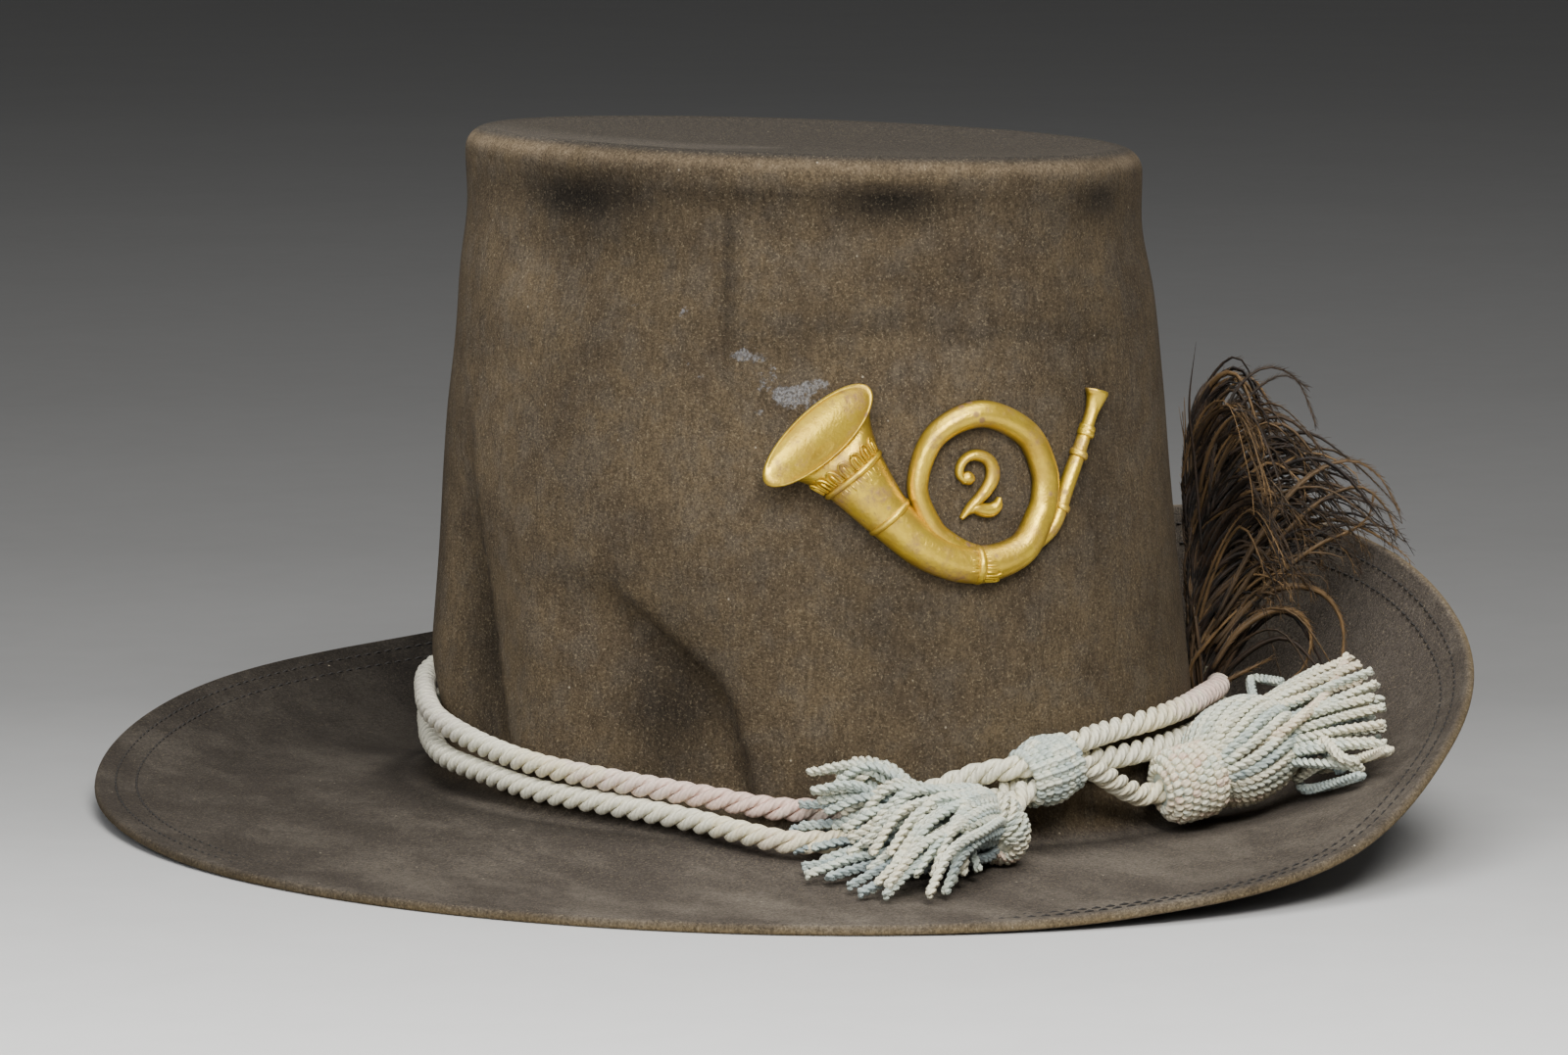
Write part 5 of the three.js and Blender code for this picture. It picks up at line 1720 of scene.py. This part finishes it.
    def build(self) -> None:
        """Builds the barbs and their fringe."""
        pick = random.Random(self.seed)
        bundle, fringe = Bundle(("pale",)), Bundle(("pale",))
        for _ in range(self.stem_barbs):
            path = self.stem_barb(pick)
            self.barb(bundle, fringe, path, pick.uniform(0.5, 0.9), pick.uniform(0.05, 0.5), pick, 0)
        for row in self.locks:
            for _ in range(row[-1]):
                path = self.lock_path(row, pick)
                hairs = pick.choice(self.hair_gaps)
                self.barb(bundle, fringe, path, pick.uniform(0.36, 0.86), pick.random() ** 3, pick, hairs)
        for width, pale, rows in self.ribbons:
            path = spline([self.place(row) for row in rows], 9)
            hairs = self.ribbon_gap if width > self.bare_width else 0
            self.barb(bundle, fringe, path, width, pale, pick, hairs)
        finish = Feather().material()
        mounted(shown("plume_barbs", bundle.body(), finish), "feather", "plume")
        mounted(shown("plume_fringe", fringe.body(), finish), "feather")


# ---- brass ----
@dataclass
class Brass:
    """The stamped horn and the numeral, laid on the crown: u to the wearer's left, v up, w off the felt.

    A row gives u and v, or a turn in degrees, and then the width and how far it stands out. A collar or a
    leaf band also says which way the tube runs there, and a band its number of leaves, their length and how
    much the tube widens along them.
    """

    direction: float = -97.2
    height: float = 88.8
    turning: float = 85.0
    back: float = 0.12
    end: float = 0.3
    loop: Row = (0.9, 15.9)
    loop_turns: tuple[Row, ...] = (
        (262, 3.4, 1.6), (250, 4.2, 2.5), (236, 4.7, 3.1), (216, 4.8, 3.3), (180, 4.9, 3.4), (135, 5.5, 3.5),
        (90, 6.3, 3.6), (45, 6.7, 3.7), (10, 6.9, 3.7), (-14, 6.9, 3.7), (-32, 7.0, 3.9),
    )
    horn: tuple[Row, ...] = (
        (9.0, -15.6, 7.5, 4.2), (-1.9, -18.5, 8.8, 4.6), (-12.6, -15.2, 9.6, 5.2), (-21.5, -7.3, 11.2, 5.7),
        (-29.2, 2.2, 15.6, 6.6), (-31.8, 5.5, 18.6, 7), (-33.9, 8, 22.6, 5.6), (-35.7, 10.1, 27.6, 3.2),
    )
    mouthpiece: tuple[Row, ...] = (
        (12.5, -15, 3.4, 2.4), (18.5, -10.2, 3.8, 2.6), (22.9, -2, 3.8, 2.6), (27.3, 5.5, 3.4, 2.5),
        (30.3, 10.6, 3.0, 2.4), (32.8, 14.8, 3.0, 2.4), (34.3, 17.6, 4.6, 3.0), (34.9, 19.2, 6.2, 3.4),
        (35.1, 19.9, 6.6, 3.3),
    )
    collars: tuple[Row, ...] = (
        (-29.2, 2.2, 132, 16.4, 7.2), (-21.5, -7.3, 133, 11.7, 6.2), (-1.9, -18.5, 175, 9.2, 5.1),
        (27.3, 5.5, 60, 4.4, 3.1), (30.1, 10.2, 62, 3.9, 3.0), (30.7, 11.2, 62, 3.8, 2.9),
        (20.9, -6.4, 58, 4.3, 3),
    )
    collar_shape: tuple[Row, ...] = ((-0.8, 0.93), (-0.45, 1.0), (0, 1.02), (0.45, 1.0), (0.8, 0.93))
    leaf_bands: tuple[Row, ...] = (
        (-29.2, 2.2, 132, 15.6, 6.7, 7, 3.4, 0.045), (-29.2, 2.2, -48, 14.6, 6.5, 6, 2.6, -0.02),
        (-1.9, -18.5, 175, 8.6, 4.7, 4, 3.0, -0.02), (-1.9, -18.5, -5, 8.2, 4.6, 4, 3.6, -0.02),
    )
    leaf_start: float = 16.0
    leaf_arc: float = 148.0
    leaf_wire: float = 0.3
    vein_wire: float = 0.34
    mouth: Row = (-36.6, 11.3, 135.5, 15.3, 5.5, 8.2, 3.1, 2.4)
    posts: tuple[Row, ...] = ((-25, -3), (0.75, 15.6), (12, -13.4))
    link: tuple[Row, ...] = ((34.0, 17.5, 1.0), (32.8, 17.9, 1.4), (32.4, 16.6, 0.9))
    stroke: tuple[Row, ...] = (
        (-3.6, 0.4, 1.9, 1.5), (-5, 2.2, 2.1, 1.6), (-4.6, 4.4, 2.2, 1.7), (-3, 6, 2.3, 1.8),
        (-0.7, 6.5, 2.7, 1.9), (1.8, 5.6, 3.1, 2), (3.1, 3.5, 3.5, 2), (2.9, 1, 3.5, 2),
        (1.4, -1.4, 3.1, 1.9), (-0.7, -3.6, 2.7, 1.8), (-2.9, -5.6, 2.3, 1.7), (-5.1, -7.9, 1.0, 1.3),
    )
    base: tuple[Row, ...] = (
        (-3.6, -6.5, 1.6, 1.4), (-1.8, -5.6, 2.8, 1.8), (0.4, -6.1, 3.4, 1.9), (2.4, -6.1, 3.4, 1.9),
        (3.9, -5, 2.7, 1.8), (4.5, -3.3, 1.0, 1.3),
    )
    ball: Row = (-3.1, 1.3, 1.7, 1.9)
    numeral_post: Row = (1.2, -6.4)

    def on_crown(self, u: float, v: float, w: float) -> tuple[float, float, float]:
        """A place of the brass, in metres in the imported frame."""
        direction = self.direction + math.degrees(u / self.turning)
        return FORM.place(FORM.at(direction, self.height + v) + FORM.outwards(direction) * w)

    def ridge(self, bundle: Bundle, rows: Sequence[Row], steps: int, sides: int) -> None:
        """Adds a stamped ridge with a half-round section and its back on the crown.

        Args:
            bundle: what it is added to.
            rows: its places, widths and heights.
            steps: about how many steps it has along it.
            sides: how many faces it has round it.
        """
        table = spline(rows, max(1, steps // (len(rows) - 1)))
        table = np.vstack([table[:1], table, table[-1:]])
        runs = tangents(np.column_stack([table[:, :2], np.zeros(len(table))]))
        runs[0], runs[-1] = runs[1], runs[-2]
        rings, raised = [], []
        for i, ((u, v, width, relief), (x, y, _)) in enumerate(zip(table, runs)):
            closed = i in (0, len(table) - 1)
            ring, heights = [], []
            for k in range(sides + 1):
                turn = 2 * math.pi * (k % sides) / sides
                across = 0.0 if closed else math.cos(turn) * width / 2
                down, up = min(math.sin(turn), 0.0), max(math.sin(turn), 0.0)
                w = FORM.gap + relief * (self.end if closed else self.back * (1 + down) + up)
                ring.append(self.on_crown(u - y * across, v + x * across, w))
                heights.append(up)
            rings.append(ring)
            raised.append(heights)
        bundle.add(np.array(rings), np.arange(len(table), dtype=float), raised=np.array(raised))

    def loop_rows(self) -> list[Row]:
        """The rows of the horn's round loop, which comes out from under the body and runs on into it."""
        u, radius = self.loop
        rows = []
        for turn, width, relief in self.loop_turns:
            t = math.radians(turn)
            rows.append((u + radius * math.cos(t), radius * math.sin(t), width, relief))
        return rows

    def collar(self, bundle: Bundle, row: Row) -> None:
        """Adds a raised ring with a rounded back across the horn."""
        u, v, runs, width, relief = row
        x, y = math.cos(math.radians(runs)), math.sin(math.radians(runs))
        shape = self.collar_shape
        rows = [(u + x * at, v + y * at, width * grown, relief * grown) for at, grown in shape]
        self.ridge(bundle, rows, 8, 28)

    def leaves(self, bundle: Bundle, row: Row) -> None:
        """Adds a band of small raised leaves that point away from a collar, each an outline and a vein."""
        u, v, runs, width, relief, count, long, spread = row
        x, y = math.cos(math.radians(runs)), math.sin(math.radians(runs))
        pitch = math.radians(self.leaf_arc) / count

        def spot(along: float, turn: float) -> tuple[float, float, float]:
            """A place on the horn's rounded back, by how far from the collar and where round the tube."""
            grow = 1 + spread * along
            aside = math.cos(turn) * width / 2 * grow
            w = FORM.gap + relief * (self.back + math.sin(turn)) * grow
            return self.on_crown(u + x * along - y * aside, v + y * along + x * aside, w)

        for k in range(int(count)):
            middle = math.radians(self.leaf_start) + pitch * (k + 0.5)
            turns = np.linspace(0, 1, 9) * math.pi
            outline = [
                spot(0.9 + long * math.sin(turn) ** 0.7, middle + pitch * 0.4 * math.cos(turn))
                for turn in turns
            ]
            vein = [spot(0.9 + long * t, middle) for t in (0.05, 0.35, 0.68)]
            bundle.wire(np.array(outline), self.leaf_wire, 5, raised=0.95)
            bundle.wire(np.array(vein), self.vein_wire, 5, raised=0.95)

    def bell(self) -> BMesh:
        """The bell's dished mouth with its thin rolled rim."""
        u, v, faces, long, short, near, far, dish = self.mouth
        profile = [
            (0.0, -1.0), (0.55, -1.0), (0.97, -1.0), (1.0, 0.2), (1.02, 0.62), (1.025, 0.82), (1.005, 0.98),
            (0.975, 1.03), (0.945, 0.98), (0.92, 0.86), (0.85, 0.68), (0.7, 0.44), (0.5, 0.22), (0.28, 0.07),
            (0.12, 0.02), (0.0, 0.0),
        ]
        body = turned(profile, 72)
        x, y = math.cos(math.radians(faces)), math.sin(math.radians(faces))
        layer = body.verts.layers.float.new("raised")
        body.loops.layers.uv.new("UVMap")
        for vert in body.verts:
            ahead, across, height = vert.co.x * short, vert.co.y * long, vert.co.z
            rim = mix(near, far, (vert.co.x + 1) / 2)
            w = FORM.gap if height < -0.5 else rim - dish * (1 - height)
            vert[layer] = 0.3 if height < 0 else min(1.0, 0.55 + 0.45 * height)
            vert.co = self.on_crown(u + ahead * x + across * y, v + ahead * y - across * x, w)
        bmesh.ops.recalc_face_normals(body, faces=body.faces)
        return body

    def post(self, bundle: Bundle, u: float, v: float) -> None:
        """Adds a plain wire post through the felt."""
        path = np.array([self.on_crown(u, v, w) for w in (-(FORM.felt + 1.8), -1.0, 1.2)])
        bundle.wire(path, 0.8, 12, raised=0.2)

    def horn_bundle(self) -> Bundle:
        """The horn with its loop, collars, leaves, mouthpiece, link and posts."""
        horn = Bundle(("raised",))
        self.ridge(horn, [*self.loop_rows(), *self.horn], 220, 30)
        self.ridge(horn, self.mouthpiece, 72, 20)
        for row in self.collars:
            self.collar(horn, row)
        for row in self.leaf_bands:
            self.leaves(horn, row)
        for u, v in self.posts:
            self.post(horn, u, v)
        horn.wire(np.array([self.on_crown(*place) for place in self.link]), 0.35, 6, raised=0.1)
        return horn

    def figure_bundle(self) -> Bundle:
        """The figure: its stroke, the ball that the stroke starts at, its base and its post."""
        figure = Bundle(("raised",))
        self.ridge(figure, self.stroke, 90, 20)
        self.ridge(figure, self.base, 50, 20)
        u, v, radius, relief = self.ball
        left = [(-1.0, 0.4, 0.4), (-0.7, radius * 1.4, 0.8)]
        shape = [*left, (0.0, radius * 2, 1.0), *((-at, width, share) for at, width, share in left[::-1])]
        ball = [(u + radius * at, v, width, relief * share) for at, width, share in shape]
        self.ridge(figure, ball, 24, 20)
        self.post(figure, *self.numeral_post)
        return figure

    def build(self) -> None:
        """Builds the horn, its bell and the numeral."""
        finish = OldBrass().material()
        mounted(shown("brass_horn", self.horn_bundle().body(), finish), "brass", "horn_badge")
        mounted(shown("brass_bell", self.bell(), finish), "brass")
        mounted(shown("brass_numeral", self.figure_bundle().body(), finish), "brass", "numeral")


# ---- studio ----
@dataclass
class Studio:
    """The floor, the lights and the camera."""

    target: tuple[float, float, float] = (-7.9, -1.35, 68.3)
    azimuth: float = -30.0
    elevation: float = 6.6
    distance: float = 1.5
    lens: float = 142.4
    floor: float = 30.0
    lamps: tuple[tuple[str, Row, float, float, Colour], ...] = (
        ("key", (-0.4, -1.45, 1.35), 0.8, 40.0, (1.0, 0.98, 0.95)),
        ("fill", (-1.5, -1.2, 0.9), 1.3, 27.0, (0.97, 0.98, 1.0)),
        ("top", (-0.1, -0.15, 1.8), 1.5, 31.0, (1.0, 0.995, 0.98)),
    )

    def camera(self) -> None:
        """Stands the camera at the viewing angle."""
        middle = Vector(FORM.place(self.target))
        a, e = math.radians(self.azimuth), math.radians(self.elevation)
        back = Vector((math.sin(a) * math.cos(e), -math.cos(a) * math.cos(e), math.sin(e)))
        data = bpy.data.cameras.new("camera")
        data.lens, data.sensor_width = self.lens, 36.0
        data.clip_start, data.clip_end = 0.05, 100.0
        made = bpy.data.objects.new("camera", data)
        made.location = middle + back * self.distance
        made.rotation_euler = back.to_track_quat("Z", "Y").to_euler()
        bpy.context.scene.collection.objects.link(made)
        bpy.context.scene.camera = made

    def lights(self) -> None:
        """Hangs the soft lamps and sets the sky."""
        aim = Vector((0, 0, 0.06))
        for name, place, size, power, colour in self.lamps:
            data = bpy.data.lights.new(name, "AREA")
            data.shape, data.size, data.energy, data.color = "DISK", size, power, colour
            made = bpy.data.objects.new(name, data)
            made.location = place
            made.rotation_euler = (Vector(place) - aim).to_track_quat("Z", "Y").to_euler()
            bpy.context.scene.collection.objects.link(made)
        world = bpy.data.worlds.new("studio")
        world.use_nodes = True
        world.node_tree.nodes["Background"].inputs["Color"].default_value = (0.38, 0.38, 0.38, 1)
        world.node_tree.nodes["Background"].inputs["Strength"].default_value = 0.36
        bpy.context.scene.world = world

    def build(self) -> None:
        """Builds the floor, the camera and the lights."""
        self.camera()
        self.lights()
        body = bmesh.new()
        bmesh.ops.create_circle(body, cap_ends=True, radius=self.floor, segments=64)
        shown("floor", body, Paper().material())


# In the tip tables, the left one above all, the lower layers get darker tones: painted shade inside the skirt.
LEFT_TIPS: tuple[Row, ...] = (
    (-118, 3.5, 20, 0.97, 0.62), (-121.5, 8.5, 19.5, 0.88, 0.55), (-123.2, 6, 18, 0.78, 0.55),
    (-122.5, 14, 16, 0.65, 0.5), (-121.7, 13, 15.5, 0.75, 0.5), (-121.6, 12, 13, 0.6, 0.45),
    (-124.5, 5.5, 10, 0.35, 0.3), (-120.2, 7, 12.5, 0.7, 0.5), (-116.7, 13, 12.5, 0.9, 0.62),
    (-118.7, 10, 9.5, 0.65, 0.6), (-116, 36.5, 8, 0.95, 0.7), (-114.4, 40.5, 9, 1.0, 0.68),
    (-113.4, 46, 7, 0.98, 0.62), (-112.1, 49, 6, 0.85, 0.55), (-115.5, 48.5, 4, 0.7, 0.7),
    (-114.7, 53, 4.5, 0.75, 0.68), (-111.5, 56, 3, 0.85, 0.62), (-107.3, 41, 4, 0.75, 0.6),
    (-114.9, 54.2, 2.5, 0.4, 0.5), (-116.2, 48, 2.4, 0.3, 0.45), (-117.9, 44.3, 2.4, 0.25, 0.3),
    (-122, 35.2, 2.4, 0.2, 0.4), (-124.5, 16.9, 2.8, 0.15, 0.25), (-125.4, 9, 5, 0.2, 0.3),
    (-120.9, 25.4, 3, 0.3, 0.35), (-119.1, 27.3, 3.4, 0.4, 0.3), (-118.1, 29.8, 6, 0.6, 0.5),
    (-117.8, 25.1, 8, 0.7, 0.62), (-119.8, 14.3, 8, 0.5, 0.45), (-116.2, 39.5, 5, 0.6, 0.55),
    (-124.2, 12, 7, 0.2, 0.25), (-122.2, 20, 4.5, 0.25, 0.25), (-120.2, 36, 2.3, 0.1, 0.25),
    (-117.1, 50, 2.3, 0.1, 0.3), (-109.7, 51, 2.4, 0.5, 0.45), (-108.7, 45, 3.4, 0.55, 0.5),
    (-105.5, 35, 3.4, 0.3, 0.45), (-122.7, 28, 2.4, 0.05, 0.3), (-118.2, 2.6, 15, 0.9, 0.5),
    (-115.2, 5, 16, 0.97, 0.6), (-105.7, 31, 7, 0.85, 0.6), (-109.7, 42, 7.5, 0.95, 0.62),
    (-112.7, 38, 10, 1.0, 0.66), (-117.2, 20, 11, 0.93, 0.6), (-115.2, 25, 12, 1.0, 0.62),
    (-119.6, 7, 19, 0.95, 0.6), (-119.5, 11, 17.5, 0.93, 0.5), (-117.6, 11, 17, 1.0, 0.58),
    (-116, 17, 15, 1.0, 0.6), (-114, 26, 13.4, 1.0, 0.64), (-112, 33, 11.6, 1.0, 0.66),
    (-110.6, 47, 5.4, 0.9, 0.6), (-113.8, 44, 8, 1.0, 0.66), (-108, 36, 8.4, 0.97, 0.62),
    (-120.6, 17, 12, 0.75, 0.48), (-118.6, 22, 9.6, 0.8, 0.56), (-116.6, 31, 8.6, 0.85, 0.6),
)
RIGHT_TIPS: tuple[Row, ...] = (
    (-45, 57.5, 16.5, 1.0, 0.82), (-40.2, 48.5, 16, 0.85, 0.55), (-48.6, 60, 13.8, 0.8, 0.6),
    (-51, 60, 12.2, 0.7, 0.7), (-49, 56, 14.2, 0.95, 0.75), (-55, 58.6, 10, 0.72, 0.62),
    (-56.2, 59, 6.6, 0.5, 0.5), (-59, 59, 4.4, 0.42, 0.65), (-60.6, 53, 2.8, 0.25, 0.55),
    (-42, 51.5, 10, 0.6, 0.5), (-44, 51.5, 12.5, 0.8, 0.6), (-46.2, 55, 9, 0.6, 0.55),
    (-53, 59, 8, 0.6, 0.6), (-50, 58, 8, 0.5, 0.5), (-57, 59, 7.7, 0.6, 0.66),
    (-47.5, 51.5, 5, 0.35, 0.4), (-53.5, 53.5, 3, 0.25, 0.35), (-42.5, 45.5, 7, 0.4, 0.45),
    (-51.5, 55, 10.5, 0.7, 0.6), (-58, 56, 5.6, 0.5, 0.6), (-54, 56, 5.2, 0.45, 0.55),
    (-42.4, 50.5, 15.2, 0.95, 0.6), (-47, 58.5, 15.4, 0.98, 0.72), (-44, 55, 14.4, 0.9, 0.5),
    (-46.5, 57, 12, 0.8, 0.55), (-49.5, 59, 11, 0.7, 0.6), (-52.5, 58, 11.2, 0.8, 0.66),
)
RIGHT_SINGLES: tuple[tuple[tuple[Row, ...], float, float], ...] = (
    (((-61.5, 13.5, 19.5), (-51.5, 16.5, 21.5), (-43.5, 21.5, 22), (-39, 24.5, 21), (-35.5, 28, 22),
      (-32.6, 32, 21.5), (-34, 35, 20), (-38, 38, 19)), 0.45, 1.0),
    (((-61.2, 12.5, 8.5), (-62.1, 21.2, 12.4), (-60, 29.8, 15), (-54.4, 35.4, 14.8), (-53, 38.6, 14),
      (-57.9, 44.2, 12), (-61.4, 50, 7.5), (-60.8, 52.7, 5)), 0.72, 1.12),
    (((-61.4, 13.5, 10.5), (-62.6, 21.6, 14.6), (-61.4, 30, 17.2), (-58.5, 39.5, 18.8), (-51.5, 47.5, 18.3),
      (-45.9, 57.6, 17.9)), 0.86, 1.1),
    (((-50.6, 28.2, 5.5), (-55.9, 41.1, 4.9), (-59.5, 53.5, 4.4), (-63.8, 65.2, 5)), 0.8, 1.08),
    (((-53.8, 29.7, 3), (-56.4, 34.6, 2.2), (-62.6, 54, 2.4)), 0.4, 1.05),
    (((-52.8, 33.5, 8), (-49.5, 35.4, 8), (-54.9, 40.9, 7.6), (-57.7, 44.1, 3.5)), 0.34, 1.1),
    (((-54.5, 29.5, 5), (-56.2, 38, 6.4), (-59.6, 48, 6.6), (-60.6, 51.4, 3.4)), 0.66, 1.1),
)


@dataclass
class CordSet:
    """The cord, the slide, both heads and both skirts, which share their ends.

    A place is a direction, then a reach along the brim and a lift over it, or a height and a distance off the
    crown. A way is a turn and a tilt.
    """

    slide: Slide = Slide()
    left_place: Row = (-101.5, 20.5, 8.7)
    left_middle: Row = (-108.7, 27.5, 9.0)
    left_entry: float = 5.5
    right_place: Row = (-67.6, 16.8, 12.6)
    right_way: Row = (13, 10)
    head_way: Row = (-8, 11)
    head_entry: float = 6.0
    head_out: float = 8.8
    head_half: float = 7.2
    head_corner: float = 4.0
    bore_room: float = 2.4

    def slide_knot(self) -> Knot:
        """The slide as a worked knob with a bore."""
        slide = self.slide
        bore = slide.circle + self.bore_room
        half = math.degrees(math.asin(slide.length / 2 / slide.radius))
        turns = [math.radians(turn) for turn in np.linspace(-half, half, 13)]
        profile = tuple(
            (max(bore + slide.lip, slide.radius * math.cos(turn)), slide.radius * math.sin(turn))
            for turn in turns
        )
        return Knot(
            "worked_slide", "cord_slide", slide.middle, slide.axes[0], profile, rings=7, around=20,
            tone=(0.4, 0.62), slot="blue_worsted", bore=bore, bead=1.15, reach=(0.95, 0.95), seed=5,
        )

    def right_head(self, middle: Vector, axis: Vector) -> Knot:
        """The right tassel's head: a worked barrel with rounded ends."""
        arc = []
        for turn in range(0, 91, 15):
            inwards, back = 1 - math.cos(math.radians(turn)), 1 - math.sin(math.radians(turn))
            arc.append((self.head_out - self.head_corner * inwards, self.head_half - self.head_corner * back))
        profile = (*((out, -along) for out, along in reversed(arc)), *arc)
        return Knot(
            "worked_head", "right_tassel_head", middle, axis, profile, rings=9, around=26,
            tone=(0.6, 0.92), slot="cord", bead=1.15, reach=(0.8, 0.3), seed=8,
        )

    def build(self) -> None:
        """Builds them all, from one material but for the cord."""
        strands = strand_finish()
        left, right = FORM.above(*self.left_place), FORM.beside(*self.right_place)
        away = (self.slide.passing(self.slide.passes[0])[0] - left).normalized()
        head_axis = tilted(*self.head_way)
        right_end = right - head_axis * self.head_entry
        HatCord(self.slide, left + away * self.left_entry, right_end, head_axis).build()
        self.slide_knot().build(strands)
        self.right_head(right, head_axis).build(strands)
        WornHead(left, away).build(strands)
        Tassel(
            "left_skirt", "left_tassel", root=left, axis=(FORM.above(*self.left_middle) - left).normalized(),
            outwards=FORM.outwards(-109), neck=(5.0, 7.2, -7.4, 9.6), swell=(14, 13.0, -6.8, 10.2),
            tips=LEFT_TIPS, arch=3.2, seed=41,
        ).build(strands)
        Tassel(
            "right_skirt", "right_tassel", root=right, axis=(tilted(*self.right_way) + UP * 0.1).normalized(),
            outwards=FORM.outwards(-59), neck=(8.4, 4.5, -4.5, 4.8), swell=(21, 8.0, -7.0, 8.0),
            tips=RIGHT_TIPS, arch=0.8, seed=77, single=RIGHT_SINGLES,
            shell=((4.5, 5.5), (7.6, 8.6), (12, 11.0), (18, 12.0), (24, 11.4), (29, 8.8), (31.5, 5.0)),
        ).build(strands)


def main() -> None:
    """Builds the studio and the hat's pieces in order."""
    logging.basicConfig(level=logging.INFO, format="%(message)s")
    Studio().build()
    FeltBody().build()
    CordSet().build()
    Plume().build()
    Brass().build()
    SHEETS.clear()


if __name__ == "__main__":
    main()
